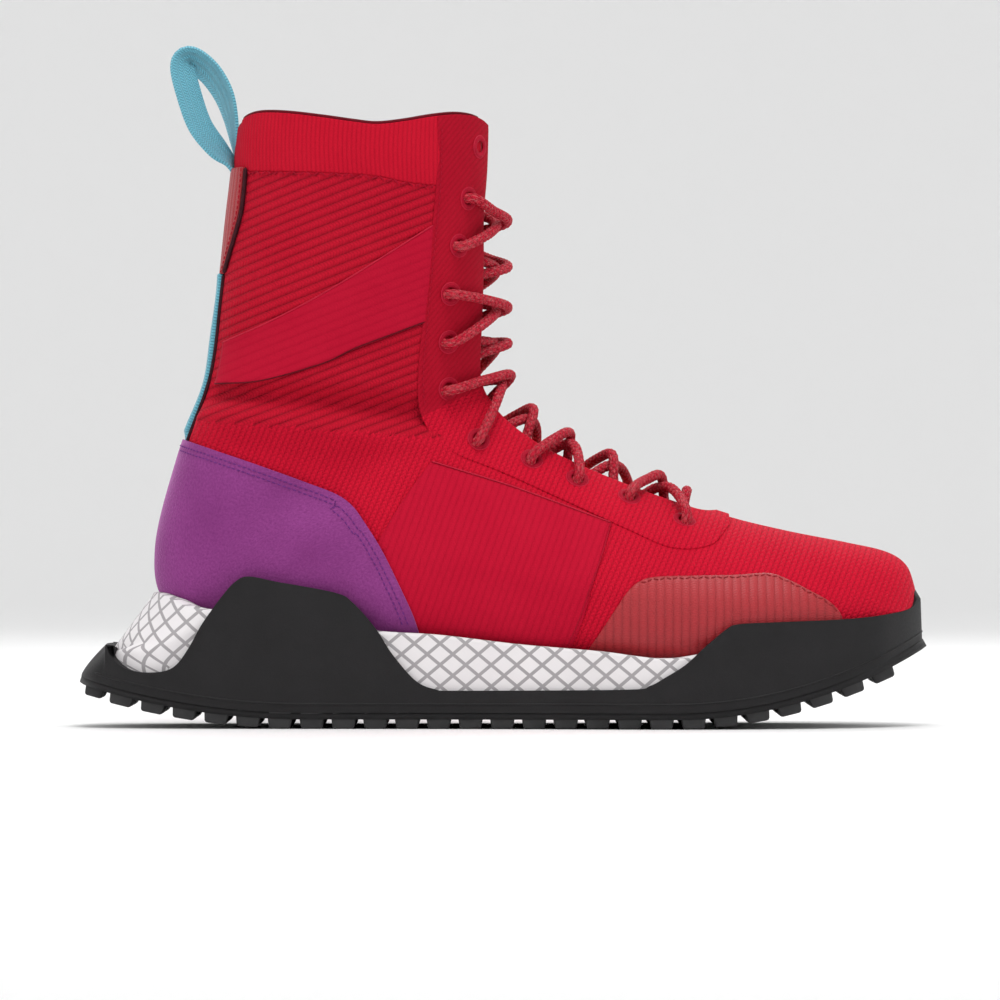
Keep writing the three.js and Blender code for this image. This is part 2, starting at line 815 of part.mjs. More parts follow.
function laceRoute() {
  const route = [
    lacePoint(tuckEnd, OUTER_SIDE, tuckTurn, laceUnder),
    lacePoint(topRow, OUTER_SIDE, 1, laceUnder),
    lacePoint(topRow, OUTER_SIDE, 1, laceOver),
  ];
  let side = OUTER_SIDE;
  for (let row = topRow; row < lastRow; row++) {
    route.push(...crossing(row, side, 1, crossingHigh));
    side = -side;
  }
  // Straight across at the toe end, down through one eyelet and up through the other.
  route.push(lacePoint(lastRow, side, edgeTurn, laceOver));
  route.push(lacePoint(lastRow, side, 0, barHeight));
  side = -side;
  route.push(lacePoint(lastRow, side, edgeTurn, laceUnder));
  route.push(lacePoint(lastRow, side, 1, laceUnder));
  route.push(lacePoint(lastRow, side, 1, laceOver));
  for (let row = lastRow; row > topRow; row--) {
    route.push(...crossing(row, side, -1, crossingLow));
    side = -side;
  }
  route.pop();
  route.push(lacePoint(tuckEnd, side, tuckTurn, laceUnder));
  return route;
}

function roundSection(radius, sides) {
  const corner = new THREE.Vector2(radius, 0);
  const origin = new THREE.Vector2();
  const corners = Array.from({ length: sides }, (_, k) => corner.clone().rotateAround(origin, (2 * Math.PI * k) / sides));
  return new THREE.Shape(corners);
}

// A tube through every point of a route, one step from each point to the next.
function tube(route, diameter, sides) {
  const path = new THREE.CatmullRomCurve3(route, false, "centripetal");
  path.getUtoTmapping = (u) => u;
  const settings = { steps: route.length - 1, extrudePath: path, bevelEnabled: false };
  return solidOf(new THREE.ExtrudeGeometry(roundSection(diameter / 2, sides), settings));
}

const LACE_SIDES = 8;
add("lace", tube(laceRoute(), laceDiameter, LACE_SIDES), RED_KNIT, 0.9);
for (const [sideName, side] of SIDES) {
  const laceEnd = lacePoint(tuckEnd, side, tuckTurn, laceUnder);
  const rowGap = laceEnd.distanceTo(lacePoint(0, side, tuckTurn, laceUnder)) / tuckEnd;
  const agletStart = tuckEnd - agletGap / rowGap;
  const agletRoute = [agletStart, tuckEnd / 2, 0].map((row) => lacePoint(row, side, tuckTurn, laceUnder));
  add("aglet_" + sideName, tube(agletRoute, agletDiameter, LACE_SIDES), TONAL_RED, 0.4);
}

// ---- the pull loop ----
// A doubled webbing strap that stands behind the collar, leaning back, turned a little on its root.
const collarBack = [-99, 207];
const loopLean = THREE.MathUtils.degToRad(-25);
const loopTwist = THREE.MathUtils.degToRad(30);
function pullLoop() {
  const outerHalf = loopOpening / 2 + loopThickness;
  const crown = loopHeight - outerHalf;
  const root = loopThickness;
  const strap = new THREE.Shape();
  strap.moveTo(-root, 0);
  strap.lineTo(root, 0);
  strap.lineTo(outerHalf, crown);
  strap.absarc(0, crown, outerHalf, 0, Math.PI, false);
  const hole = new THREE.Path();
  const foot = 9;
  hole.moveTo(0, foot);
  hole.lineTo(-loopOpening / 2, crown);
  hole.absarc(0, crown, loopOpening / 2, Math.PI, 0, true);
  strap.holes.push(hole);
  const settings = { depth: loopStrap, bevelEnabled: false, curveSegments: 8 };
  const geometry = new THREE.ExtrudeGeometry(strap, settings);
  geometry.translate(0, 0, -loopStrap / 2);
  geometry.rotateX(Math.PI / 2);
  geometry.rotateZ(loopTwist);
  geometry.rotateY(loopLean);
  geometry.translate(along(collarBack[0]) - loopStandoff, 0, up(collarBack[1]));
  return solidOf(geometry);
}
add("pull_loop", pullLoop(), TEAL_WEBBING, 0.8);

export default boot;
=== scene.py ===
"""A knitted lace-up boxing boot for the right foot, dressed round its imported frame. Metres, +X to the toe,
-Y to the lateral side. Every layer of the upper is a patch of one smooth skin, placed by its section number s
(from the toe, round the heel, up the shaft) and its turn round the section (0 in front, pi at the back)."""
import math

import bmesh
import bpy
import numpy as np
from mathutils import Matrix, Vector


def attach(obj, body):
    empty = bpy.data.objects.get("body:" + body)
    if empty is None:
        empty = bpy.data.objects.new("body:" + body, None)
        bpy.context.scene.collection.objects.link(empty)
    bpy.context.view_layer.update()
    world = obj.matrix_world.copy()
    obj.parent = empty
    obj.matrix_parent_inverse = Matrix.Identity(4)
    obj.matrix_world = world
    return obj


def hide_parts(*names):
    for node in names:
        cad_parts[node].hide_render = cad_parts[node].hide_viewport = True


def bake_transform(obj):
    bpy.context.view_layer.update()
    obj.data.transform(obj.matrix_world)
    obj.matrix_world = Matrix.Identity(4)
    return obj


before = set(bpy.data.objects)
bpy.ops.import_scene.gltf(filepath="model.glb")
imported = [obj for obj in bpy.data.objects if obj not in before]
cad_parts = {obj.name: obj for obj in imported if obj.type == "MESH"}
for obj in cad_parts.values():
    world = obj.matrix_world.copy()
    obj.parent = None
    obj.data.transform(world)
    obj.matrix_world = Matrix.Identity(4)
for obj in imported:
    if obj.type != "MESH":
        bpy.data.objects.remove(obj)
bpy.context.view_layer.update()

MM = 0.001
SIDES = (("lateral", -1), ("medial", 1))
PLAIT = 0.0024  # one crossing of the lace's yarns, in metres

# ---- the skin, as the frame was built ----
# near x, near z, far x, far z, half width, widest share, near power, far power, centre y (millimetres)
SECTIONS = np.array([
    [152.6, 51.5, 152.6, 44.5, 6, 0.5, 1, 1, 7],
    [149.5, 59.5, 150, 38, 17, 0.6, 1, 0.8, 7],
    [142, 64.5, 143, 34, 27, 0.62, 1, 0.65, 6.5],
    [127, 68, 128, 29.5, 37, 0.64, 1, 0.55, 5.5],
    [105, 72.3, 106, 25.5, 43.5, 0.64, 1.05, 0.5, 3.5],
    [82, 78, 82, 22.5, 46.5, 0.62, 1.15, 0.5, 1],
    [57.5, 87, 52, 22, 44.5, 0.62, 1.25, 0.5, -1],
    [36, 96.5, 18, 24.5, 40, 0.63, 1.25, 0.5, -2],
    [18, 106, -22, 29, 36.5, 0.64, 1.2, 0.5, -1],
    [5, 115.5, -62, 34.5, 34.5, 0.66, 1.1, 0.5, 0],
    [-2, 124, -99, 39, 33, 0.67, 1, 0.55, 0],
    [-4.8, 131, -122.5, 46, 32, 0.64, 0.95, 0.7, 0],
    [-6, 139, -127, 66, 32, 0.58, 0.9, 0.85, 0],
    [-6.2, 147, -119, 99, 32.5, 0.54, 0.9, 0.95, 0],
    [-6.2, 158, -108.5, 129, 33.5, 0.52, 0.9, 0.95, 0],
    [-6.2, 172, -104.5, 158, 34.5, 0.5, 0.9, 0.95, 0],
    [-6.2, 190, -101.5, 186, 35, 0.5, 0.9, 0.95, 0],
    [-5, 208, -99, 208, 35.5, 0.5, 0.9, 0.95, 0],
    [-4.5, 234, -97, 234, 36, 0.5, 0.9, 0.95, 0],
])
LAST = len(SECTIONS) - 1
NUDGE = 0.01


def skin(s, turn):
    """Points of the skin in metres, for arrays of s and turn."""
    s, turn = np.broadcast_arrays(np.asarray(s, float), np.asarray(turn, float))
    i = np.clip(np.floor(s).astype(int), 0, LAST - 1)
    f = (s - i)[..., None]
    a, b, c, d = (SECTIONS[np.clip(i + k, 0, LAST)] for k in (-1, 0, 1, 2))
    near_x, near_z, far_x, far_z, half, widest, near_power, far_power, centre = np.moveaxis(
        b + 0.5 * f * (c - a + f * (2 * a - 5 * b + 4 * c - d + f * (3 * (b - c) + d - a))), -1, 0)
    cos, sin = np.cos(turn), np.sin(turn)
    power = np.where(cos >= 0, near_power, far_power)
    reach = np.abs(cos) ** power
    share = np.where(cos >= 0, widest * (1 - reach), widest + (1 - widest) * reach)
    y = centre + np.sign(sin) * np.abs(sin) ** power * half
    points = [near_x + (far_x - near_x) * share, y, near_z + (far_z - near_z) * share]
    return np.stack(points, -1) * MM


def skin_normal(s, turn):
    low, high = np.maximum(0, s - NUDGE), np.minimum(LAST, s + NUDGE)
    lengthwise = skin(high, turn) - skin(low, turn)
    around = skin(s, turn + NUDGE) - skin(s, turn - NUDGE)
    n = np.cross(around, lengthwise)
    return n / np.maximum(np.linalg.norm(n, axis=-1, keepdims=True), 1e-12)


def off_skin(s, turn, grow):
    """Points grow millimetres outside the skin."""
    s, turn, grow = np.broadcast_arrays(s, turn, grow)
    return skin(s, turn) + skin_normal(s, turn) * grow[..., None] * MM


TABLE_S, TABLE_TURN = np.meshgrid(np.linspace(0, LAST, 361), np.linspace(0, math.pi, 181), indexing="ij")
TABLE_POINTS = skin(TABLE_S, -TABLE_TURN)[..., [0, 2]].reshape(-1, 2)


def places_seen_at(points, side=-1):
    """s and turn (0 to pi) of the skin's points seen from one side at each (x, z) in millimetres."""
    found = []
    for x, z in np.asarray(points, float) * MM:
        k = int(np.argmin((TABLE_POINTS[:, 0] - x) ** 2 + (TABLE_POINTS[:, 1] - z) ** 2))
        s, turn = TABLE_S.flat[k], TABLE_TURN.flat[k]
        span_s, span_turn = LAST / 360, math.pi / 180
        for _ in range(4):
            ss, tt = np.meshgrid(s + span_s * np.linspace(-1, 1, 9), turn + span_turn * np.linspace(-1, 1, 9))
            ss, tt = np.clip(ss, 0, LAST), np.clip(tt, 0, math.pi)
            p = skin(ss, side * tt)
            k = int(np.argmin((p[..., 0] - x) ** 2 + (p[..., 2] - z) ** 2))
            s, turn = ss.flat[k], tt.flat[k]
            span_s, span_turn = span_s / 3, span_turn / 3
        found.append((s, turn))
    return np.array(found)


def along_line(points, count, smooth=True):
    """count points evenly along a line of points, rounded through them where smooth."""
    p = np.asarray(points, float)
    if smooth and len(p) > 2:
        q = np.vstack([2 * p[0] - p[1], p, 2 * p[-1] - p[-2]])
        f = np.linspace(0, 1, 12, endpoint=False)[:, None]
        a, b, c, d = q[:-3], q[1:-2], q[2:-1], q[3:]
        p = np.concatenate([
            b[k] + 0.5 * f * (c[k] - a[k] + f * (2 * a[k] - 5 * b[k] + 4 * c[k] - d[k]
            + f * (3 * (b[k] - c[k]) + d[k] - a[k]))) for k in range(len(a))] + [p[-1:]])
    run = np.concatenate([[0], np.cumsum(np.linalg.norm(np.diff(p, axis=0), axis=1))])
    at = np.linspace(0, run[-1], count)
    return np.stack([np.interp(at, run, p[:, k]) for k in range(p.shape[1])], -1)


# ---- meshes ----
def finish_piece(bm, name, materials, smooth=True):
    mesh = bpy.data.meshes.new(name)
    bm.to_mesh(mesh)
    bm.free()
    for m in materials if isinstance(materials, (list, tuple)) else [materials]:
        mesh.materials.append(m)
    if smooth:
        mesh.polygons.foreach_set("use_smooth", [True] * len(mesh.polygons))
    piece = bpy.data.objects.new(name, mesh)
    bpy.context.collection.objects.link(piece)
    return piece


def patch(name, points, uvs, materials, weld=0.00002, drop=None, pick=None, out=None):
    """A piece on a rows by columns grid of points, with a UV map of uvs. drop(centre) says which faces to leave
    out, pick(centre) gives a face's material, and out is the way each point faces."""
    rows, columns = points.shape[:2]
    bm = bmesh.new()
    layer = bm.loops.layers.uv.new("cloth")
    bmesh.ops.create_grid(bm, x_segments=columns - 1, y_segments=rows - 1, size=1)
    bm.verts.ensure_lookup_table()
    flat_points, flat_uvs = points.reshape(-1, 3), uvs.reshape(-1, 2)
    for k, v in enumerate(bm.verts):
        v.co = flat_points[k]
    for face in bm.faces:
        for loop in face.loops:
            loop[layer].uv = flat_uvs[loop.vert.index]
        if pick:
            face.material_index = pick(face.calc_center_median())
    if out is not None:
        bm.normal_update()
        facing_out = sum(v.normal.dot(Vector(n)) for v, n in zip(bm.verts, out.reshape(-1, 3)))
        if facing_out < 0:
            bmesh.ops.reverse_faces(bm, faces=bm.faces[:])
    if drop:
        gone = [face for face in bm.faces if drop(face.calc_center_median())]
        bmesh.ops.delete(bm, geom=gone, context="FACES")
    bmesh.ops.remove_doubles(bm, verts=bm.verts[:], dist=weld)
    return finish_piece(bm, name, materials)


def thicken(piece, thickness, offset=-1.0, rim=0.0, segments=2):
    """thickness in millimetres, inwards from the patch where offset is -1, with its edges rounded by rim."""
    wall = piece.modifiers.new("wall", "SOLIDIFY")
    wall.thickness = thickness * MM
    wall.offset = offset
    if rim:
        edge = piece.modifiers.new("rim", "BEVEL")
        edge.width = rim * MM
        edge.segments = segments
        edge.limit_method = "ANGLE"
        edge.angle_limit = math.radians(50)
    return piece


def bend_at_ankle(piece):
    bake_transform(piece)


def dress(piece, slot, body, *nodes):
    """Puts a piece in place of its CAD nodes by hiding them, and parents it to its body, or for the ankle only bakes
    its transform. The slot is not used.
    """
    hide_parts(*nodes)
    if body == "ankle":
        bend_at_ankle(piece)
    else:
        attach(piece, body)


# ---- shader groups and materials ----
def group(name, inputs, outputs):
    """An empty shader group with number sockets, or a vector where the default is None."""
    tree = bpy.data.node_groups.new(name, "ShaderNodeTree")
    for socket, default in inputs.items():
        kind = "NodeSocketVector" if default is None else "NodeSocketFloat"
        made = tree.interface.new_socket(socket, in_out="INPUT", socket_type=kind)
        if default is not None:
            made.default_value = default
    for socket in outputs:
        tree.interface.new_socket(socket, in_out="OUTPUT", socket_type="NodeSocketFloat")
    return tree, tree.nodes.new("NodeGroupInput"), tree.nodes.new("NodeGroupOutput")


def node(tree, kind, settings=None, **links):
    """A shader node with its settings; links go to input sockets by name, or by _number."""
    made = tree.nodes.new("ShaderNode" + kind)
    for key, value in (settings or {}).items():
        setattr(made, key, value)
    for key, value in links.items():
        socket = made.inputs[int(key[1:]) if key[0] == "_" else key.replace("_", " ")]
        if isinstance(value, bpy.types.NodeSocket):
            tree.links.new(value, socket)
        else:
            socket.default_value = value
    return made


def maths(tree, operation, a, b=0.0, c=0.0):
    return node(tree, "Math", {"operation": operation}, _0=a, _1=b, _2=c).outputs[0]


def times(tree, a, b):
    return maths(tree, "MULTIPLY", a, b)


def plus(tree, a, b):
    return maths(tree, "ADD", a, b)


def over(tree, a, b):
    return maths(tree, "DIVIDE", a, b)


def size_of(tree, a):
    return maths(tree, "ABSOLUTE", a)


def rib_group():
    """Ribs of a knit: Across is the coordinate across the ribs in metres. Height runs 0 to 1 over each rib."""
    sockets = {"Across": 0.0, "Along": 0.0, "Pitch": 0.003, "Stitch": 0.0012, "Cross": 0.28}
    tree, start, end = group("knit ribs", sockets, ("Height", "Shade"))
    o = start.outputs
    phase = over(tree, o["Across"], o["Pitch"])
    wave = size_of(tree, maths(tree, "SINE", times(tree, phase, math.pi)))
    rounded = maths(tree, "POWER", wave, 0.6)
    lean = times(tree, size_of(tree, maths(tree, "SUBTRACT", maths(tree, "FRACT", phase), 0.5)), 1.4)
    step = plus(tree, over(tree, o["Along"], o["Stitch"]), lean)
    stitch = size_of(tree, maths(tree, "SINE", times(tree, step, math.pi)))
    tree.links.new(plus(tree, rounded, times(tree, stitch, o["Cross"])), end.inputs["Height"])
    # Shade is painted shade: darker in the grooves between ribs and between stitches.
    tree.links.new(times(tree, rounded, plus(tree, times(tree, stitch, 0.3), 0.7)),
                   end.inputs["Shade"])
    return tree


def mottle_group():
    """Slow and fast colour variation of a dyed cloth or hide, 0 to 1."""
    tree, start, end = group("mottle", {"Vector": None, "Scale": 40.0}, ("Slow", "Fast"))
    slow = node(tree, "TexNoise", Vector=start.outputs["Vector"], Scale=start.outputs["Scale"], Detail=3.0)
    fast = node(tree, "TexNoise", Vector=start.outputs["Vector"], Scale=times(tree, start.outputs["Scale"], 28.0),
                Detail=2.0)
    tree.links.new(slow.outputs["Fac"], end.inputs["Slow"])
    tree.links.new(fast.outputs["Fac"], end.inputs["Fast"])
    return tree


RIBS = rib_group()
MOTTLE = mottle_group()


def start_material(name):
    m = bpy.data.materials.new(name)
    m.use_nodes = True
    tree = m.node_tree
    return m, tree, tree.nodes["Principled BSDF"]


def surface(shader, **settings):
    """Sets the shader's inputs, named with _ for a space."""
    for key, value in settings.items():
        shader.inputs[key.replace("_", " ")].default_value = value


def use(tree, shared, **links):
    made = tree.nodes.new("ShaderNodeGroup")
    made.node_tree = shared
    for key, value in links.items():
        if isinstance(value, bpy.types.NodeSocket):
            tree.links.new(value, made.inputs[key])
        else:
            made.inputs[key].default_value = value
    return made.outputs


def mix(tree, fac, a, b):
    return node(tree, "Mix", {"data_type": "RGBA"}, _0=fac, _6=a, _7=b).outputs[2]


def bump(tree, shader, height, strength, distance):
    made = node(tree, "Bump", None, Height=height, Strength=strength, Distance=distance)
    tree.links.new(made.outputs[0], shader.inputs["Normal"])


def cloth_uv(tree):
    return node(tree, "UVMap", {"uv_map": "cloth"}).outputs[0]


def turned_uv(tree, degrees):
    """The cloth UV in metres, turned so that its second coordinate runs across lines at that angle."""
    uv = cloth_uv(tree)
    turned = node(tree, "Mapping", None, Vector=uv, Rotation=(0, 0, -math.radians(degrees)))
    split = node(tree, "SeparateXYZ", None, Vector=turned.outputs[0])
    return split.outputs[0], split.outputs[1], uv


def knit(name, colour, dark, degrees, pitch, stitch, depth, cross=0.28):
    """Ribbed knit: ribs at an angle to the UV's first axis, pitch and stitch in millimetres."""
    m, tree, shader = start_material(name)
    run, across, uv = turned_uv(tree, degrees)
    ribs = use(tree, RIBS, Across=across, Along=run, Pitch=pitch * MM, Stitch=stitch * MM, Cross=cross)
    spots = use(tree, MOTTLE, Vector=uv, Scale=38.0)
    # The rib grooves are darkened with painted shade.
    base = mix(tree, ribs["Shade"], (*dark, 1), (*colour, 1))
    light = tuple(min(1, c * 1.25 + 0.01) for c in colour)
    base = mix(tree, times(tree, spots["Slow"], 0.45), base, (*light, 1))
    base = mix(tree, times(tree, spots["Fast"], 0.3), base, (*dark, 1))
    tree.links.new(base, shader.inputs["Base Color"])
    surface(shader, Roughness=0.85, Sheen_Weight=0.04, Sheen_Roughness=0.4, Sheen_Tint=(1.0, 0.25, 0.3, 1),
            Specular_IOR_Level=0.12)
    bump(tree, shader, ribs["Height"], 0.9, depth * MM)
    return m


RED = (0.53, 0.003, 0.022)
RED_DARK = (0.22, 0.0, 0.009)
MAT = {
    "shaft_knit": knit("shaft rib knit", RED, RED_DARK, 21, 3.1, 1.15, 0.75),
    "foot_knit": knit("vamp rib knit", (0.62, 0.003, 0.026), (0.36, 0.0, 0.014), 66, 2.0, 1.6, 0.3, 0.9),
    "collar_knit": knit("collar rib knit", (0.53, 0.003, 0.021), (0.37, 0.0, 0.013), 90, 1.7, 1.1, 0.2),
    "facing_knit": knit("facing knit", (0.4, 0.001, 0.017), (0.28, 0.0, 0.01), 52, 1.5, 1.3, 0.12),
    "tongue_knit": knit("tongue knit", (0.3, 0.001, 0.013), (0.16, 0.0, 0.006), 90, 2.4, 1.4, 0.25),
    "strap_knit": knit("tonal strap knit", (0.44, 0.002, 0.024), (0.37, 0.0, 0.019), 21, 3.1, 1.1, 0.16),
    "saddle_knit": knit("tonal saddle knit", (0.49, 0.002, 0.025), (0.38, 0.0, 0.018), 70, 2.6, 0.9, 0.2),
}


def film_material():
    m, tree, shader = start_material("bonded film")
    run, across, uv = turned_uv(tree, 90)
    ribs = use(tree, RIBS, Across=across, Along=run, Pitch=3.1 * MM, Stitch=0.9 * MM)
    spots = use(tree, MOTTLE, Vector=uv, Scale=45.0)
    # The rib grooves are darkened with painted shade.
    base = mix(tree, ribs["Shade"], (0.26, 0.007, 0.012, 1), (0.4, 0.02, 0.027, 1))
    # Painted light: the film is made lighter towards its top edge, where light from above falls on the toe.
    high = node(tree, "SeparateXYZ", None, Vector=uv).outputs[1]
    painted_top_light = node(tree, "MapRange", {"interpolation_type": "SMOOTHSTEP"}, Value=high, From_Min=0.036, From_Max=0.056)
    base = mix(tree, times(tree, painted_top_light.outputs[0], 0.4), base, (0.48, 0.048, 0.055, 1))
    base = mix(tree, times(tree, spots["Slow"], 0.3), base, (0.4, 0.028, 0.036, 1))
    tree.links.new(base, shader.inputs["Base Color"])
    tree.links.new(plus(tree, times(tree, spots["Fast"], 0.25), 0.3), shader.inputs["Roughness"])
    surface(shader, Coat_Weight=0.1, Coat_Roughness=0.35, Specular_IOR_Level=0.3)
    bump(tree, shader, ribs["Height"], 0.7, 0.35 * MM)
    return m


def suede_material():
    m, tree, shader = start_material("purple suede")
    uv = cloth_uv(tree)
    spots = use(tree, MOTTLE, Vector=uv, Scale=30.0)
    nap = node(tree, "TexNoise", Vector=uv, Scale=1100.0, Detail=5.0, Roughness=0.7).outputs["Fac"]
    base = mix(tree, spots["Slow"], (0.18, 0.028, 0.15, 1), (0.36, 0.075, 0.31, 1))
    rubbed = node(tree, "MapRange", Value=nap, From_Min=0.38, From_Max=0.66).outputs[0]
    base = mix(tree, times(tree, rubbed, 0.5), base, (0.12, 0.014, 0.105, 1))
    tree.links.new(base, shader.inputs["Base Color"])
    surface(shader, Roughness=0.95, Sheen_Weight=0.6, Sheen_Roughness=0.35, Sheen_Tint=(0.85, 0.45, 0.8, 1),
            Specular_IOR_Level=0.1)
    grain = plus(tree, times(tree, nap, 0.6), spots["Fast"])
    bump(tree, shader, grain, 0.7, 0.4 * MM)
    return m


def webbing_material():
    m, tree, shader = start_material("teal webbing")
    uv = cloth_uv(tree)
    split = node(tree, "SeparateXYZ", None, Vector=uv)
    zig = maths(tree, "PINGPONG", split.outputs[0], 0.0014)
    phase = over(tree, plus(tree, split.outputs[1], zig), 0.0011)
    wave = size_of(tree, maths(tree, "SINE", times(tree, phase, math.pi)))
    spots = use(tree, MOTTLE, Vector=uv, Scale=60.0)
    # Painted shade: the webbing is darker in the grooves of its zigzag weave, following the bump.
    base = mix(tree, wave, (0.02, 0.17, 0.26, 1), (0.13, 0.47, 0.6, 1))
    base = mix(tree, times(tree, spots["Slow"], 0.5), base, (0.2, 0.6, 0.72, 1))
    tree.links.new(base, shader.inputs["Base Color"])
    surface(shader, Roughness=0.7, Sheen_Weight=0.3)
    bump(tree, shader, wave, 0.9, 0.25 * MM)
    return m


def foam_material():
    """White foam with a printed grey net: lines along both diagonals of the wall's UV."""
    m, tree, shader = start_material("printed midsole foam")
    uv = cloth_uv(tree)
    split = node(tree, "SeparateXYZ", None, Vector=uv)
    u = over(tree, split.outputs[0], 0.0094)
    v = over(tree, split.outputs[1], 0.0078)
    lines = []
    for sign in ("ADD", "SUBTRACT"):
        cell = maths(tree, "FRACT", maths(tree, sign, u, v))
        lines.append(size_of(tree, maths(tree, "SUBTRACT", cell, 0.5)))
    nearest = maths(tree, "MAXIMUM", *lines)
    ink = node(tree, "MapRange", {"interpolation_type": "SMOOTHSTEP"}, Value=nearest, From_Min=0.385, From_Max=0.415)
    spots = use(tree, MOTTLE, Vector=uv, Scale=30.0)
    ground = mix(tree, spots["Slow"], (0.72, 0.69, 0.7, 1), (0.86, 0.83, 0.84, 1))
    base = mix(tree, ink.outputs[0], ground, (0.36, 0.34, 0.35, 1))
    tree.links.new(base, shader.inputs["Base Color"])
    surface(shader, Roughness=0.6)
    grain = maths(tree, "SUBTRACT", times(tree, spots["Fast"], 0.4), times(tree, ink.outputs[0], 0.3))
    bump(tree, shader, grain, 0.35, 0.2 * MM)
    return m


def rubber_material(name, base, wear, scale=60.0):
    m, tree, shader = start_material(name)
    place = node(tree, "TexCoord").outputs["Object"]
    spots = use(tree, MOTTLE, Vector=place, Scale=scale)
    colour = mix(tree, spots["Slow"], (*base, 1), (*wear, 1))
    tree.links.new(colour, shader.inputs["Base Color"])
    tree.links.new(plus(tree, times(tree, spots["Fast"], 0.3), 0.42), shader.inputs["Roughness"])
    surface(shader, Specular_IOR_Level=0.22)
    bump(tree, shader, spots["Fast"], 0.25, 0.15 * MM)
    return m


def braid_material(name, colour, dark, fleck):
    """Round braid: UV runs along and round the lace in metres. Light flecks show on a few of the yarns."""
    m, tree, shader = start_material(name)
    uv = cloth_uv(tree)
    split = node(tree, "SeparateXYZ", None, Vector=uv)
    u = over(tree, split.outputs[0], PLAIT)
    v = times(tree, split.outputs[1], 4.0)
    strands = [maths(tree, "SINE", times(tree, maths(tree, k, u, v), math.pi)) for k in ("ADD", "SUBTRACT")]
    height = size_of(tree, times(tree, *strands))
    cell = node(tree, "TexVoronoi", None, Vector=uv, Scale=520.0).outputs["Color"]
    lucky = maths(tree, "GREATER_THAN", node(tree, "SeparateXYZ", None, Vector=cell).outputs[0], 0.88)
    # Painted shade: the braid is darker in the hollows between its yarns, following the bump's height.
    base = mix(tree, maths(tree, "POWER", height, 0.4), (*dark, 1), (*colour, 1))
    base = mix(tree, times(tree, lucky, 0.6), base, (*fleck, 1))
    tree.links.new(base, shader.inputs["Base Color"])
    surface(shader, Roughness=0.75, Specular_IOR_Level=0.15)
    bump(tree, shader, height, 0.9, 0.35 * MM)
    return m


def thread_material(name, colour, dark):
    m, tree, shader = start_material(name)
    uv = node(tree, "TexCoord").outputs["Object"]
    spots = use(tree, MOTTLE, Vector=uv, Scale=300.0)
    tree.links.new(mix(tree, spots["Slow"], (*dark, 1), (*colour, 1)), shader.inputs["Base Color"])
    surface(shader, Roughness=0.65, Specular_IOR_Level=0.15)
    bump(tree, shader, spots["Fast"], 0.4, 0.1 * MM)
    return m


MAT.update({
    "film": film_material(),
    "suede": suede_material(),
    "webbing": webbing_material(),
    "foam": foam_material(),
    "rubber": rubber_material("tread rubber", (0.009, 0.0085, 0.009), (0.017, 0.016, 0.017)),
    "lug": rubber_material("lug rubber", (0.028, 0.028, 0.029), (0.055, 0.054, 0.055), 90.0),
    "lace": braid_material("lace braid", (0.5, 0.004, 0.026), (0.2, 0.0, 0.009), (0.8, 0.36, 0.36)),
    "thread": thread_material("red thread", (0.5, 0.004, 0.03), (0.26, 0.0, 0.012)),
    "seam_thread": thread_material("light red thread", (0.6, 0.02, 0.05), (0.4, 0.005, 0.03)),
    # Dark thread for the strap's lower edge, also used for the painted shadow line along the collar's top.
    "shadow_rim_and_dark_thread": thread_material("painted shadow rim and dark thread", (0.16, 0.0, 0.01), (0.08, 0.0, 0.004)),
    "purple_thread": thread_material("purple thread", (0.2, 0.04, 0.26), (0.09, 0.012, 0.12)),
    "binding": thread_material("dark binding", (0.06, 0.008, 0.015), (0.02, 0.002, 0.004)),
    "board": thread_material("lasting board", (0.32, 0.3, 0.27), (0.2, 0.19, 0.17)),
    "liner": thread_material("liner textile", (0.25, 0.01, 0.025), (0.12, 0.004, 0.01)),
    "aglet": thread_material("aglet", (0.5, 0.02, 0.05), (0.35, 0.01, 0.03)),
})


# ---- the lacing's places ----
EYELETS = [(-9.5, 213.5), (-13.5, 194.4), (-16.8, 176.9), (-19.8, 159.3), (-20.5, 141.7), (-20.5, 124.5),
           (-9.2, 105.5), (10.3, 98), (27.1, 90.8), (46.1, 84), (66.3, 75.5)]
SHAFT_EYELETS = 6
EYELET_HOLE = 3.5  # half the gap left for a ring in the facing
EYELET_RING = 3.1  # from an eyelet's centre to the middle of its ring
EYELET_OUTLINE = 4.15
PLACES = {name: places_seen_at(EYELETS, side) for name, side in SIDES}
THROAT_TOE = 5.15  # the section where the throat starts
THROAT_GAP = 11.0  # from the middle to a facing's inner edge
KNIT_GAP = 16.0  # from the middle to the knit's edge, under the facing


def turn_at_y(s, y):
    """The turn in front at which a section is y millimetres from its centre."""
    i = np.clip(np.asarray(s, float), 0, LAST)
    half = np.interp(i, range(LAST + 1), SECTIONS[:, 4])
    power = np.interp(i, range(LAST + 1), SECTIONS[:, 6])
    return np.arcsin(np.clip((np.asarray(y) / half) ** (1 / power), 0, 1))


def throat_half(s, wide):
    """Half the throat's width in millimetres, closing in a round end at its toe end."""
    rise = np.clip((np.asarray(s) - THROAT_TOE) / 0.35, 0, 1)
    return wide * np.sqrt(np.clip(1 - (1 - rise) ** 2, 0, 1))


COLLAR_SEAM = [(-120, 205.2), (-94, 204.3), (-50, 202.3), (-26, 198.8), (40, 197)]
COLLAR_EDGE = [(-120, 221.3), (-99, 221.3), (-95.5, 224.3), (-90, 225.8), (-80, 225.4), (-66, 223.6), (-55, 222),
               (-46, 221.1), (-36, 222.2), (-26, 224), (-17, 225), (-10, 224.2), (-6, 221.5), (-4, 218), (40, 216)]


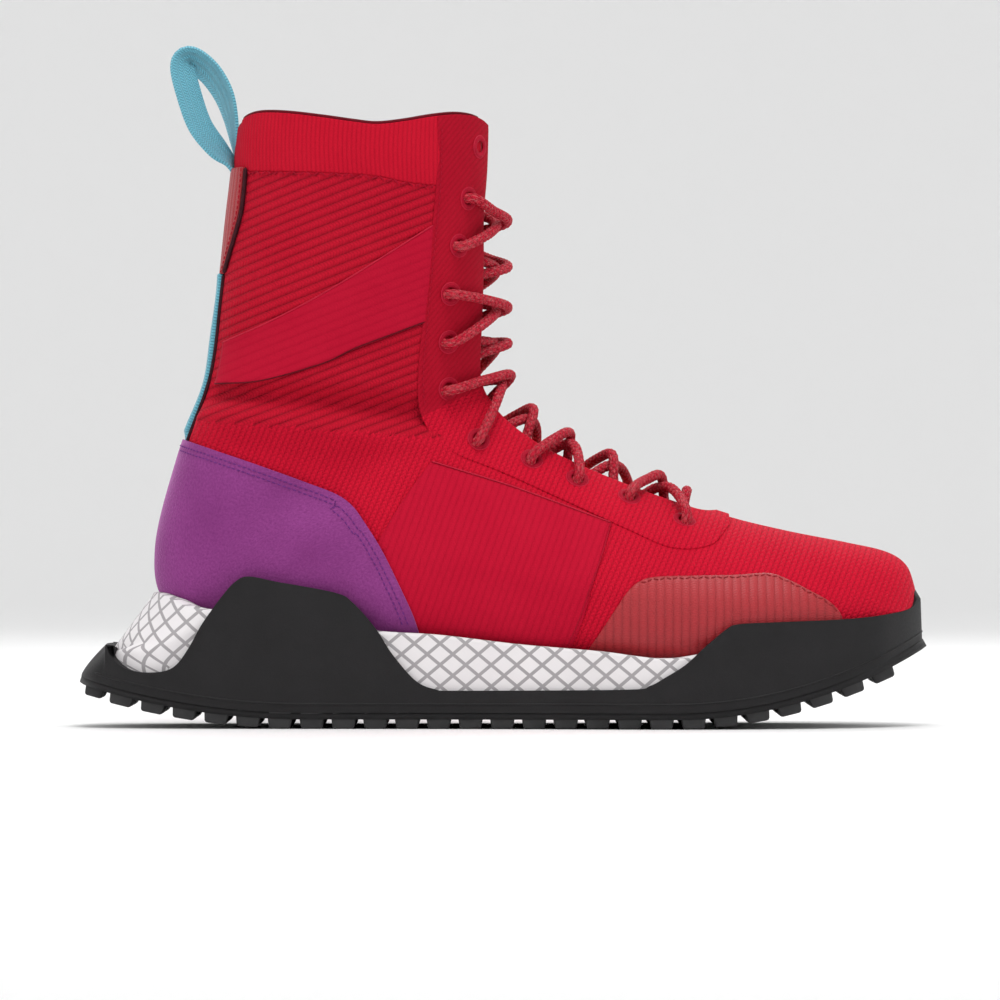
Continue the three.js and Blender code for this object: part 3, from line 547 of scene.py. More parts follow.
def section_at_height(line, turn):
    """For each turn, the s high on the shaft where the skin crosses a side-view line."""
    line = along_line(line, 200)
    low, high = np.full(np.shape(turn), 15.0), np.full(np.shape(turn), float(LAST))
    for _ in range(24):
        middle = (low + high) / 2
        p = skin(middle, turn) / MM
        above = p[..., 2] > np.interp(p[..., 0], line[:, 0], line[:, 1])
        low, high = np.where(above, low, middle), np.where(above, middle, high)
    return middle


def side_uv(points):
    """Side-view UV in metres."""
    return points[..., [0, 2]]


def round_uv(points):
    """UV of the distance round each row, and the height along each column."""
    across = np.linalg.norm(np.diff(points, axis=1), axis=-1)
    u = np.concatenate([np.zeros((len(points), 1)), np.cumsum(across, axis=1)], axis=1)
    rise = np.linalg.norm(np.diff(points, axis=0), axis=-1)
    v = np.concatenate([np.zeros((1, points.shape[1])), np.cumsum(rise, axis=0)], axis=0)
    return np.stack([u - u[:, points.shape[1] // 2][:, None], v], -1)


# ---- the knitted upper ----
def upper_relief(points):
    """How far the knit stands off its skin, in millimetres: the bulge over the ankle and the creases in it."""
    x, z = points[..., 0] / MM, points[..., 2] / MM
    ridge = 111.5 - 0.1 * (x + 90)
    back = np.clip((-14 - x) / 22, 0, 1)
    bulge = 3.4 * np.exp(-((z - ridge) / 5.0) ** 2) - 4.4 * np.exp(-((z - ridge - 10.5) / 4.6) ** 2)
    wrinkle = 0.8 * np.sin((z + 0.35 * x) / 4.1) * np.exp(-((z - ridge - 2) / 16) ** 2)
    seam = np.clip((np.abs(points[..., 1]) / MM - 7) / 8, 0, 1)
    return (bulge + wrinkle) * back * seam


def knit_upper():
    rows, columns = 290, 150
    share = np.linspace(0, 1, columns)[None, :]
    row = np.linspace(0, 1, rows)[:, None]
    throat = turn_at_y(17.0, KNIT_GAP)
    top = section_at_height(COLLAR_SEAM, throat + share * (2 * math.pi - 2 * throat))
    s = row * top
    edge = turn_at_y(s, throat_half(s, KNIT_GAP)) * (s > THROAT_TOE)
    turn = edge + share * (2 * math.pi - 2 * edge)
    points = off_skin(s, turn, 0.0)
    points = off_skin(s, turn, upper_relief(points))

    def zone(centre):
        ridge = 0.111 - 0.07 * (centre.x + 0.09)
        return 0 if centre.z > ridge and centre.x < 0 else 1

    piece = patch("knit_upper", points, side_uv(points), [MAT["shaft_knit"], MAT["foot_knit"]], pick=zone,
                  out=skin_normal(s, turn))
    thicken(piece, 2.0, rim=0.4)
    dress(piece, "rib_knit", "ankle", "knit_foot", "knit_ankle", "knit_shaft")


def collar_band():
    rows, columns = 26, 320
    share = np.linspace(0, 1, columns)[None, :]
    throat = turn_at_y(17.5, KNIT_GAP)
    turn = throat + share * (2 * math.pi - 2 * throat)
    low, high = section_at_height(COLLAR_SEAM, turn), section_at_height(COLLAR_EDGE, turn)
    row = np.linspace(0, 1, rows)[:, None]
    s = low + 0.012 + (high - low - 0.012) * row
    swell = 0.5 * np.sin(math.pi * row) + 0.1
    points = off_skin(s, np.broadcast_to(turn, s.shape), swell)
    piece = patch("collar_band", points, round_uv(points), MAT["collar_knit"],
                  out=skin_normal(s, np.broadcast_to(turn, s.shape)))
    thicken(piece, 2.6, rim=1.1, segments=3)
    dress(piece, "rib_knit", "shaft", "collar_band")
    # The dark tube just inside the collar's top edge is painted shadow of the lining inside, not a real hem.
    rim = off_skin(high[0] + 0.012, turn[0], -0.9)
    shadow_rim_and_dark_thread = tube("collar_shadow_rim", along_line(rim, 420), 0.7, MAT["shadow_rim_and_dark_thread"], around=8)
    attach(shadow_rim_and_dark_thread, "shaft")
    seam = np.stack([low[0] - 0.02, turn[0]], -1)
    stitches("collar_seam_stitching", seam, 0.35, 2.7, 0.55, 0.3, MAT["thread"], "shaft", zigzag=0.65)


def stitches(name, places, grow, pitch, width, height, material, body=None, zigzag=0.0):
    """A row of thread stitches along (s, turn) places, each a small rounded bar."""
    dense = off_skin(places[:, 0], places[:, 1], grow)
    normal = skin_normal(places[:, 0], places[:, 1])
    run = np.concatenate([[0], np.cumsum(np.linalg.norm(np.diff(dense, axis=0), axis=1))])
    count = int(run[-1] / (pitch * MM))
    bm = bmesh.new()
    for k in range(count):
        ends = []
        for at in (run[-1] * (k + 0.12) / count, run[-1] * (k + 0.88) / count):
            ends.append(Vector([np.interp(at, run, dense[:, j]) for j in range(3)]))
        out = Vector([np.interp(run[-1] * (k + 0.5) / count, run, normal[:, j]) for j in range(3)]).normalized()
        way = ends[1] - ends[0]
        side = way.cross(out).normalized()
        if zigzag:
            swing = side * zigzag * MM * (1 if k % 2 else -1)
            ends = [ends[0] + swing, ends[1] - swing]
            way = ends[1] - ends[0]
            side = way.cross(out).normalized()
        turnto = Matrix((way.normalized(), side, out)).transposed().to_4x4()
        made = bmesh.ops.create_icosphere(bm, subdivisions=1, radius=1)["verts"]
        size = Matrix.Diagonal((way.length * 0.56, width * MM / 2, height * MM, 1))
        bmesh.ops.transform(bm, matrix=Matrix.Translation((ends[0] + ends[1]) / 2) @ turnto @ size, verts=made)
    piece = finish_piece(bm, name, material)
    if body:
        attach(piece, body)
    else:
        bend_at_ankle(piece)
    return piece


# ---- facings, tongue, eyelets ----
FACING_BACK = [(-24, 232), (-24.6, 200), (-27, 175), (-29.5, 150), (-31.5, 125), (-29, 112), (-20, 102), (0, 93.5),
               (22, 83.5), (45, 73), (62, 66), (76, 67), (83, 74)]


def facing(side_name, side):
    back = places_seen_at(along_line(FACING_BACK, 300), -1)
    order = np.argsort(back[:, 0])
    rows, columns = 330, 26
    row = np.linspace(0, 1, rows)[:, None]
    share = np.linspace(0, 1, columns)[None, :]
    start = THROAT_TOE - 0.2
    first_turn = turn_at_y(17.8, THROAT_GAP)
    top = float(section_at_height(COLLAR_EDGE, np.array([side * 1.4 * first_turn]))[0])
    s = np.broadcast_to(start + (top - start) * row, (rows, columns)).copy()
    inner = turn_at_y(s, throat_half(s, THROAT_GAP))
    outer = np.maximum(np.interp(s, back[order, 0], back[order, 1]), inner + 0.02)
    turn = side * (inner + (outer - inner) * share)
    edge = section_at_height(COLLAR_EDGE, turn[-1])
    s = start + (edge[None, :] - start) * row
    points = off_skin(s, turn, 1.0 + 0.25 * np.sin(math.pi * share) - 0.5 * share ** 6)
    holes = [Vector(off_skin(p[0], side * p[1], 1.0)) for p in PLACES[side_name]]
    clear = EYELET_HOLE * MM
    piece = patch("facing_" + side_name, points, side_uv(points), [MAT["facing_knit"], MAT["foot_knit"]],
                  out=skin_normal(s, turn), drop=lambda c: min((c - h).length for h in holes) < clear,
                  pick=lambda c: 0 if c.z > 0.114 + 0.5 * (c.x + 0.03) else 1)
    thicken(piece, 1.0, rim=0.3)
    dress(piece, "smooth_knit", "ankle", "shaft_facing_" + side_name, "vamp_facing_" + side_name)
    seam_s = np.linspace(11.4, top - 0.1, 160)
    seam_turn = side * (np.interp(seam_s, back[order, 0], back[order, 1]) - 0.035)
    stitches("facing_seam_" + side_name, np.stack([seam_s, seam_turn], -1), 1.2, 2.2, 0.4, 0.16, MAT["thread"])


def tongue():
    rows, columns = 240, 34
    row = np.linspace(0, 1, rows)[:, None]
    share = np.linspace(-1, 1, columns)[None, :]
    start = THROAT_TOE - 0.3
    wide = turn_at_y(np.linspace(start, 17.6, rows), 21.0)[:, None]
    turn = share * wide
    edge = section_at_height(COLLAR_EDGE, np.zeros(1))[0] - 0.03
    s = start + (edge - start) * row + 0 * share
    top = np.clip((s - 16.3) / 0.7, 0, 1)
    points = off_skin(s, turn, -5.6 + 1.1 * (1 - share ** 2) + 2.6 * top ** 2 * (3 - 2 * top))
    piece = patch("tongue", points, round_uv(points), MAT["tongue_knit"], out=skin_normal(s, turn))
    thicken(piece, 3.0, rim=1.0, segments=3)
    dress(piece, "smooth_knit", "ankle", "tongue")


def stand(place, side, grow):
    """The matrix that stands a shape made round +Z on the skin."""
    s, turn = place[0], side * place[1]
    up = Vector(skin_normal(s, turn))
    return Matrix.Translation(Vector(off_skin(s, turn, grow))) @ up.to_track_quat("Z", "Y").to_matrix().to_4x4()


def eyelet(number, side_name, side, place):
    """A satin-stitched ring: a torus whose threads lie across it."""
    around, section = 72, 9
    angle, loop = np.meshgrid(np.linspace(0, 2 * math.pi, around + 1), np.linspace(0, 2 * math.pi, section + 1))
    radius = EYELET_RING + (0.95 + 0.05 * np.sin(24 * angle)) * np.cos(loop)
    height = (0.4 + 0.06 * np.sin(24 * angle)) * np.sin(loop)
    ring = np.stack([radius * np.cos(angle), radius * np.sin(angle), height], -1) * MM
    at = np.array(stand(place, side, 1.15))
    ring = ring @ at[:3, :3].T + at[:3, 3]
    name = f"eyelet_{number + 1:02d}_{side_name}"
    body = "shaft" if number < SHAFT_EYELETS else "foot"
    piece = patch(name, ring, ring[..., :2], MAT["thread"])
    dress(piece, "eyelet_stitching", body, name)
    circle = np.stack([np.cos(angle[0]), np.sin(angle[0]), 0 * angle[0]], -1) * EYELET_OUTLINE * MM
    circle = circle @ at[:3, :3].T + at[:3, 3]
    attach(tube(name + "_outline", circle, 0.24, MAT["seam_thread"], around=6), body)


# ---- the lace ----
LACE_RADIUS = 1.9
LACE_UNDER = -LACE_RADIUS - 1.5
LACE_OVER = 4.5
CROSSING_LOW = 3.4
CROSSING_HIGH = 7.8
EDGE_TURN = 0.5
TOP_ROW = 1
TUCK_END = 0.8
TUCK_TURN = 0.62
END_ROW = len(EYELETS) - 1


def lace_point(row, side, share, height):
    above, below = math.floor(row), math.ceil(row)
    rows = PLACES["lateral" if side < 0 else "medial"]
    s, turn = rows[above] + (rows[below] - rows[above]) * (row - above)
    return off_skin(s, side * turn * share, height)


def crossing(row, side, step, height):
    height -= 2.6 * min(1, max(0, (row + step * 0.5 - 5) / 1.5))
    return [lace_point(row + step * 0.25, side, EDGE_TURN, LACE_OVER), lace_point(row + step * 0.5, side, 0, height),
            lace_point(row + step * 0.75, -side, EDGE_TURN, LACE_UNDER), lace_point(row + step, -side, 1, LACE_UNDER),
            lace_point(row + step, -side, 1, LACE_OVER)]


def lace_route():
    route = [lace_point(TUCK_END, -1, TUCK_TURN, LACE_UNDER), lace_point(TOP_ROW, -1, 1, LACE_UNDER),
             lace_point(TOP_ROW, -1, 1, LACE_OVER)]
    side = -1
    for row in range(TOP_ROW, END_ROW):
        route += crossing(row, side, 1, CROSSING_HIGH)
        side = -side
    route += [lace_point(END_ROW, side, EDGE_TURN, LACE_OVER), lace_point(END_ROW, side, 0, CROSSING_LOW)]
    side = -side
    route += [lace_point(END_ROW, side, EDGE_TURN, LACE_UNDER), lace_point(END_ROW, side, 1, LACE_UNDER),
              lace_point(END_ROW, side, 1, LACE_OVER)]
    for row in range(END_ROW, TOP_ROW, -1):
        route += crossing(row, side, -1, CROSSING_LOW)
        side = -side
    route.pop()
    route.append(lace_point(TUCK_END, side, TUCK_TURN, LACE_UNDER))
    return np.array(route)


def tube(name, line, radius, material, around=14, wave=0.0):
    """A round tube along evenly spaced points, with frames carried along it, and UV along and round it."""
    way = np.gradient(line, axis=0)
    way /= np.linalg.norm(way, axis=1, keepdims=True)
    side = np.cross(way[0], (0, 0, 1))
    sides = []
    for w in way:
        side = side - w * side.dot(w)
        side = side / np.linalg.norm(side)
        sides.append(side)
    sides = np.array(sides)
    third = np.cross(way, sides)
    angle = np.linspace(0, 2 * math.pi, around + 1)
    run = np.concatenate([[0], np.cumsum(np.linalg.norm(np.diff(line, axis=0), axis=1))])
    u, v = np.meshgrid(run, angle / (2 * math.pi), indexing="ij")
    plait = np.sin(math.pi * (u / PLAIT + 4 * v)) * np.sin(math.pi * (u / PLAIT - 4 * v))
    r = radius * MM * (1 + wave * np.abs(plait))
    ends = np.minimum(np.arange(len(line)), np.arange(len(line))[::-1])[:, None]
    r = r * np.clip(ends / 2, 0.02, 1)
    points = (line[:, None] + r[..., None] * (np.cos(angle)[None, :, None] * sides[:, None]
              + np.sin(angle)[None, :, None] * third[:, None]))
    return patch(name, points, np.stack([u, v], -1), material, weld=0.00001)


def lace():
    route = lace_route()
    line = along_line(route, 2300)
    piece = tube("lace", line, LACE_RADIUS * 0.94, MAT["lace"], around=12, wave=0.12)
    dress(piece, "lace_braid", "ankle", "lace")
    for side_name, side in SIDES:
        rows = (TUCK_END - 0.05, TUCK_END / 2, 0)
        end = along_line([lace_point(row, side, TUCK_TURN, LACE_UNDER) for row in rows], 30)
        aglet = tube("aglet_" + side_name, end, 1.6, MAT["aglet"], around=12)
        dress(aglet, "aglet_plastic", "shaft", "aglet_" + side_name)


# ---- overlays ----
def ruled(top, bottom, rows, columns):
    """s and turn on a grid between two side-view lines, each given as points in millimetres."""
    a, b = (places_seen_at(along_line(line, columns)) for line in (bottom, top))
    v = np.linspace(0, 1, rows)[:, None, None]
    return a[None] + (b - a)[None] * v


def overlay(name, top, bottom, side, grow, thickness, material, slot, body, rows=60, columns=90):
    at = ruled(top, bottom, rows, columns)
    v, u = np.linspace(0, 1, rows)[:, None], np.linspace(0, 1, columns)[None, :]
    edge = np.minimum(np.minimum(v, 1 - v) * rows, np.minimum(u, 1 - u) * columns)
    soft = np.clip(edge / 2.5, 0, 1)
    points = off_skin(at[..., 0], side * at[..., 1], grow - 0.45 * thickness * (1 - soft))
    piece = patch(name, points, side_uv(points), material, out=skin_normal(at[..., 0], side * at[..., 1]))
    thicken(piece, thickness)
    dress(piece, slot, body, name)
    return at


def edging(name, line, side, grow, radius, material, body):
    """A thread along a side-view line."""
    at = places_seen_at(along_line(line, 60))
    points = along_line(off_skin(at[:, 0], side * at[:, 1], grow), 160)
    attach(tube(name, points, radius, material, around=6), body)


SADDLE_FRONT = [(39.5, 75), (36, 63), (32, 52), (27, 38), (22, 28)]
SADDLE_TOP = [(-26.4, 97.7), (-12, 93.2), (2, 88.8), (15.4, 84), (39.5, 75)]
SADDLE_BOTTOM = [(-28.5, 30), (-15, 29), (22, 26)]
TOE_GUARD_TOP = [(31.5, 29.7), (36.6, 37), (41.7, 44.7), (45.8, 50.5), (50.2, 54), (56, 55.4), (70, 55.8),
                 (85.3, 56), (97, 56.6), (104.7, 54), (111.3, 50.7), (118, 47.2), (122, 43.9), (123.8, 41)]
TOE_GUARD_BOTTOM = [(33, 27), (60, 26), (90, 30), (124, 36)]
STRAP_TOP = [(-103, 141.5), (-88.3, 147.6), (-73.6, 154.9), (-60, 162.6), (-43.6, 172.8), (-25.6, 184.4)]
STRAP_BOTTOM = [(-106, 126.2), (-88.3, 127.3), (-65.9, 133.6), (-54.2, 139.1), (-39.9, 144.6), (-28.5, 149)]
COUNTER_TOP = [(-117.6, 105.8), (-112.8, 104.2), (-103.3, 101), (-90, 96.5), (-73.6, 90.6), (-61.5, 85.8),
               (-55.3, 81.4), (-50.9, 75.6), (-44.3, 65.2), (-37.7, 52), (-33.3, 42.8), (-30.8, 36.3), (-29.5, 31)]


def overlays():
    for side_name, side in SIDES:
        overlay("saddle_panel_" + side_name, SADDLE_TOP, SADDLE_BOTTOM, side, 0.85, 0.6, MAT["saddle_knit"],
                "tonal_knit", "foot")
        for k, (edge, thread) in enumerate(((SADDLE_TOP, "seam_thread"), (SADDLE_FRONT, "thread"))):
            edging(f"saddle_edge_{k + 1}_{side_name}", edge, side, 0.75, 0.28, MAT[thread], "foot")
        overlay("toe_guard_" + side_name, TOE_GUARD_TOP, TOE_GUARD_BOTTOM, side, 0.85, 0.6, MAT["film"],
                "film", "foot", columns=140)
        ticks = places_seen_at(along_line([(x, z - 0.9) for x, z in TOE_GUARD_TOP[4:-1]], 90))
        stitches("toe_guard_stitching_" + side_name, ticks * (1, side), 0.95, 2.3, 0.6, 0.25, MAT["film"], "foot",
                 zigzag=0.35)
        overlay("shaft_strap_" + side_name, STRAP_TOP, STRAP_BOTTOM, side, 0.75, 0.5, MAT["strap_knit"],
                "tonal_knit", "shaft")
        for k, (edge, thread) in enumerate(((STRAP_TOP, "seam_thread"), (STRAP_BOTTOM, "shadow_rim_and_dark_thread"))):
            edging(f"strap_edge_{k + 1}_{side_name}", edge, side, 0.6, 0.28, MAT[thread], "shaft")


def mirrored_patch(name, at, grow, thickness, material, slot, body, rim=0.5):
    """A patch that wraps the back of the boot: the lateral half's places, mirrored across the back seam."""
    whole = np.concatenate([at * (1, -1), at[:, -2::-1]], axis=1)
    points = off_skin(whole[..., 0], whole[..., 1], grow)
    piece = patch(name, points, round_uv(points), material, weld=0.00005,
                  out=skin_normal(whole[..., 0], whole[..., 1]))
    thicken(piece, thickness, rim=rim)
    dress(piece, slot, body, name)
    return piece


def back_grid(top, low, rows, columns):
    """Places between two lines that both start at the back seam. The lines run front to back."""
    a, b = places_seen_at(along_line(low, columns)), places_seen_at(along_line(top, columns))
    for line in (a, b):
        line[-1, 1] = math.pi
    v = np.linspace(0, 1, rows)[:, None, None]
    return a[None] + (b - a)[None] * v


def heel_counter():
    top = COUNTER_TOP[::-1]
    front_first = along_line(top, 120)
    low = [(-29, 30), (-60, 36), (-100, 40.5), (-123, 46)]
    at = back_grid(front_first, low, 70, 120)
    mirrored_patch("heel_counter", at, 1.75, 1.5, MAT["suede"], "suede", "foot", rim=0.45)
    for number, inset in enumerate((2.6, 4.4)):
        inner = [(x - inset * 0.9 if x > -60 else x, z - inset * (1 if x <= -50 else 0.55)) for x, z in front_first]
        line = places_seen_at([p for p in inner if p[1] > 38])
        for side_name, side in SIDES:
            stitches(f"counter_stitching_{number + 1}_{side_name}", line * (1, side), 1.8, 2.0, 0.55, 0.3,
                     MAT["purple_thread"], "foot")


def heel_tab():
    front = [(-94.6, 206), (-95.3, 197), (-96.6, 188), (-100, 176), (-102.6, 167)]
    rows, columns = 60, 24
    line = along_line(front, rows)
    edge = places_seen_at(line)
    share = np.linspace(0, 1, columns)[None, :, None]
    back = np.stack([edge[:, 0], np.full(rows, math.pi)], -1)
    at = (edge[:, None] + (back - edge)[:, None] * share)[::-1]
    mirrored_patch("heel_tab", at, 1.5, 1.2, MAT["film"], "film", "shaft", rim=0.4)
    for side_name, side in SIDES:
        border = edge + (0, 0.02)
        binding = off_skin(edge[:, 0], side * (edge[:, 1] - 0.03), 0.8)
        piece = tube("heel_tab_binding_" + side_name, along_line(binding, 90), 0.8, MAT["binding"], around=8)
        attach(piece, "shaft")
        stitches("heel_tab_stitching_" + side_name, border * (1, side), 1.65, 2.0, 0.45, 0.25,
                 MAT["thread"], "shaft")


def spine_tape():
    rows, columns = 110, 11
    heights = np.linspace(103.5, 167, rows)
    low, high = np.full(rows, 12.0), np.full(rows, 17.0)
    for _ in range(24):
        middle = (low + high) / 2
        above = skin(middle, np.full(rows, math.pi))[:, 2] / MM > heights
        low, high = np.where(above, low, middle), np.where(above, middle, high)
    half = np.interp(middle, range(LAST + 1), SECTIONS[:, 4])[:, None]
    power = np.interp(middle, range(LAST + 1), SECTIONS[:, 7])[:, None]
    y = np.linspace(-6, 6, columns)[None, :]
    turn = math.pi - np.sign(y) * np.arcsin((np.abs(y) / half) ** (1 / power))
    ripple = 0.25 * np.sin(heights / 5.3)[:, None]
    tuck = 1.5 * np.clip((108.5 - heights) / 2.5, 0, 1)[:, None]
    points = off_skin(middle[:, None], turn, 2.2 + ripple - tuck)
    piece = patch("spine_tape", points, round_uv(points), MAT["webbing"], out=skin_normal(middle[:, None], turn))
    thicken(piece, 2.0, rim=0.5)
    dress(piece, "webbing", "ankle", "spine_tape")
    for side_name, side in SIDES:
        edge = math.pi - side * np.arcsin((6.9 / half[:, 0]) ** (1 / power[:, 0]))
        line = off_skin(middle, edge, 0.3)
        cord = tube("spine_binding_" + side_name, along_line(line, 120), 0.75, MAT["binding"], around=8)
        bend_at_ankle(cord)


# ---- the pull loop ----
# centre of the strap in side view, its place in y, and how far its width turns into the side view (degrees)
LOOP_PATH = [(-99.3, 0.4, 203.8, 0), (-100.2, 0, 206.5, 8), (-101.6, -0.6, 209.4, 22), (-105.9, -1.8, 213.8, 40),
             (-112.1, -3, 222.3, 48), (-116.2, -3.2, 234, 50), (-118.3, -2.4, 243, 50), (-116.9, -0.6, 246.6, 52),
             (-113.2, 1, 245.6, 52), (-107.9, 2.2, 240.9, 47), (-103.4, 2.4, 233.6, 38), (-100.9, 1.8, 225.6, 26),
             (-99.4, 1, 217, 14), (-98.2, 0, 209, 4), (-97.8, 0, 203.8, 0)]


def pull_loop():
    """A webbing strap: up one strand, over the crown and down the other, both ends sewn under the heel tab."""
    path = along_line(LOOP_PATH, 150)
    way = np.gradient(path[:, [0, 2]], axis=0)
    way /= np.linalg.norm(way, axis=1, keepdims=True)
    lean = np.radians(path[:, 3])[:, None]
    across = np.cos(lean) * (0, 1, 0) + np.sin(lean) * np.stack([way[:, 1], 0 * lean[:, 0], -way[:, 0]], -1)
    share = np.linspace(-5.5, 5.5, 12)[None, :, None]
    points = (path[:, None, :3] + share * across[:, None]) * MM
    piece = patch("pull_loop", points, round_uv(points), MAT["webbing"])
    thicken(piece, 1.3, offset=0, rim=0.4)
    dress(piece, "webbing", "loop", "pull_loop")


# ---- the sole ----
PLAN = [(-156, 0), (-153.5, -20), (-146, -31), (-130, -37.5), (-100, -40), (-60, -40.5), (-22, -42), (12, -45),
        (42, -49.5), (68, -51), (92, -48.5), (115, -42), (135, -31), (147, -17), (154.5, -2), (156, 8), (154.5, 18),
        (148, 30), (135, 42), (115, 49), (92, 51), (68, 49.5), (42, 46), (12, 42), (-22, 40), (-60, 40), (-100, 40),
        (-130, 37.5), (-146, 31), (-153.5, 20)]
LUG_PITCH, LUG_LENGTH, LUG_DEPTH = 11.6, 8.9, 6.5


def ground_line(x):
    back = np.maximum(0, -72 - x) / 84
    front = np.maximum(0, x - 62) / 94
    return 13 * back ** 2 + 26 * front ** 2


def plan_line(count, inset):
    """The tread's closed outline in millimetres, pulled in by inset, from the tail round the lateral side."""
    line = along_line(np.array(PLAN[-2:] + PLAN + PLAN[:3], float), 4000)
    start = int(np.argmin(np.hypot(*(line[:1500] - PLAN[0]).T)))
    stop = 2500 + int(np.argmin(np.hypot(*(line[2500:] - PLAN[0]).T)))
    line = along_line(line[start:stop + 1], count + 1, smooth=False)
    way = np.gradient(line, axis=0)
    way[0] = way[-1] = way[0] + way[-1]
    way /= np.linalg.norm(way, axis=1, keepdims=True)
    return line + np.stack([-way[:, 1], way[:, 0]], -1) * inset


RUBBER_EDGE = [(-156, 20.5), (-152.5, 26), (-146.2, 30.6), (-144.6, 27.5), (-140.6, 23.4), (-134.4, 20.9),
               (-124.9, 20.9), (-119.4, 23.4), (-114.6, 30), (-109.9, 38.5), (-102.5, 48.7), (-97.8, 53.8),
               (-93, 55.7), (-82.8, 53.8), (-61.5, 49.8), (-54.9, 46.1), (-46.5, 36.6), (-40.6, 27.5), (-32.2, 17.9),
               (-24.9, 14.6), (-15.7, 14), (44.3, 14.6), (53.1, 15.9), (59, 19), (66.6, 23.8), (74, 30.4),
               (81.7, 36.6), (86, 38.4), (100, 39.1), (122.3, 39.9), (137.7, 41), (149, 43), (153, 45), (154.6, 50),
               (156, 54.4)]
FOAM_EDGE = [(-144.5, 29.9), (-136, 40.5), (-129.5, 48.6), (-127, 49.4), (-120, 47.4), (-106, 43.5), (-60, 38.5),
             (-46.5, 35.5), (-23, 34), (7, 30.6), (36.6, 28.2), (61.5, 25.6), (85, 29), (120, 33), (146, 39)]


def wall_points(line, low, high, rows, lean):
    """Rows up a wall that stands on a plan line, from low to high, leaning in by lean per millimetre of height."""
    v = np.linspace(0, 1, rows)[:, None]
    z = low[None] + (high - low)[None] * v
    way = np.gradient(line, axis=0)
    way /= np.linalg.norm(way, axis=1, keepdims=True)
    inward = np.stack([-way[:, 1], way[:, 0]], -1)
    shift = lean * np.maximum(0, z - 14)
    xy = line[None] + inward[None] * shift[..., None]
    return np.concatenate([xy, z[..., None]], -1) * MM


def rubber_shell():
    """The outsole's wall: sidewall, heel clip and toe wrap; the step line along it is made with the tread."""
    line = plan_line(900, 0.0)
    edge = along_line(RUBBER_EDGE, 1400)
    tail = np.clip((-146 - line[:, 0]) / 8, 0, 1) ** 0.7
    high = np.where(tail > 0, 30.6, np.interp(line[:, 0], edge[:, 0], edge[:, 1]))
    low = ground_line(line[:, 0]) + LUG_DEPTH - 0.6
    points = wall_points(line, low, high, 20, lean=0.035)
    lean = np.clip((points[..., 2] / MM - 19) / 11.6, 0, 1) ** 1.3 * 9 * tail
    points[..., 0] += lean * MM
    toe = np.clip((line[:, 0] - 146) / 6, 0, 1)
    points[..., 0] -= np.clip(points[..., 2] / MM - 47, 0, 9) * 0.55 * toe * MM
    uv = np.stack([np.broadcast_to(np.linspace(0, 0.8, 901), (20, 901)), points[..., 2]], -1)
    piece = patch("outsole", points, uv, MAT["rubber"], weld=0.00008)
    thicken(piece, 3.4, rim=0.9, segments=3)
    dress(piece, "tread_rubber", "foot", "outsole")


def midsole():
    """The foam's wall, which leans in round the heel, with a lip at its top that tucks under the upper."""
    line = plan_line(700, 2.2)
    edge = along_line(FOAM_EDGE, 900)
    heel = np.clip((-70 - line[:, 0]) / 26, 0, 1)
    heel = heel ** 2 * (3 - 2 * heel)
    angle = np.arctan2(line[:, 1] / 37.8, (line[:, 0] + 92) / 61.8)[None, :]
    top_x = line[:, 0] * (1 - heel) + heel * (-92 + 37 * np.cos(angle[0]))
    high = np.interp(np.maximum(top_x, -127), edge[:, 0], edge[:, 1])
    low = ground_line(line[:, 0]) + LUG_DEPTH + 1
    wall = wall_points(line, low, high, 24, lean=0.05)
    climb = np.clip((wall[..., 2] / MM - 16) / 33.4, 0, 1)
    square = 0.45 + 0.5 * climb
    round_x = -92 + (61 - 24 * climb) * np.sign(np.cos(angle)) * np.abs(np.cos(angle)) ** square
    round_y = (39.4 - 3.4 * climb) * np.sign(np.sin(angle)) * np.abs(np.sin(angle)) ** square
    beside_tail = (1 - np.clip((-145 - line[:, 0]) / 5, 0, 1)) * np.clip((-112 - line[:, 0]) / 12, 0, 1)
    heel = heel * (1 - np.clip((31 - wall[..., 2] / MM) / 4, 0, 1) * beside_tail)
    wall[..., 0] += (round_x * MM - wall[..., 0]) * heel
    wall[..., 1] += (round_y * MM - wall[..., 1]) * heel
    room = (np.interp(wall[..., 0] / MM, [-156, -153.5, -146, -130, -100], [0, 20, 31, 37.5, 40]) - 3.6) * MM
    room = np.where(wall[..., 0] < -0.07, room, 1)
    wall[..., 1] = np.clip(wall[..., 1], -room, room)
    top = wall[-1:]
    middle = np.array([-0.03, 0, 0])
    rows = [wall]
    for shrink, drop in ((0.975, -0.0004), (0.94, 0.0004), (0.86, 0.004), (0.3, 0.008)):
        rows.append((top - middle) * (shrink, shrink, 1) + middle - (0, 0, drop))
    points = np.concatenate(rows)
    run = np.cumsum(np.linalg.norm(np.diff(wall, axis=1, prepend=wall[:, :1]), axis=2), axis=1)
    for side in (slice(0, 350), slice(350, None)):
        waist = int(np.argmin(np.abs(line[side, 0] + 50)))
        run[:, side] += (run[14, side] - run[:, side])[:, waist:waist + 1]
    run = np.concatenate([run] + [run[-1:]] * 4)
    rise = [wall[..., 2]] + [top[..., 2] + extra for extra in (0.001, 0.0025, 0.006, 0.03)]
    uv = np.concatenate(rise)
    uv = np.stack([run, uv], -1)
    piece = patch("midsole", points, uv, MAT["foam"], weld=0.00008)
    dress(piece, "midsole_foam", "foot", "midsole")


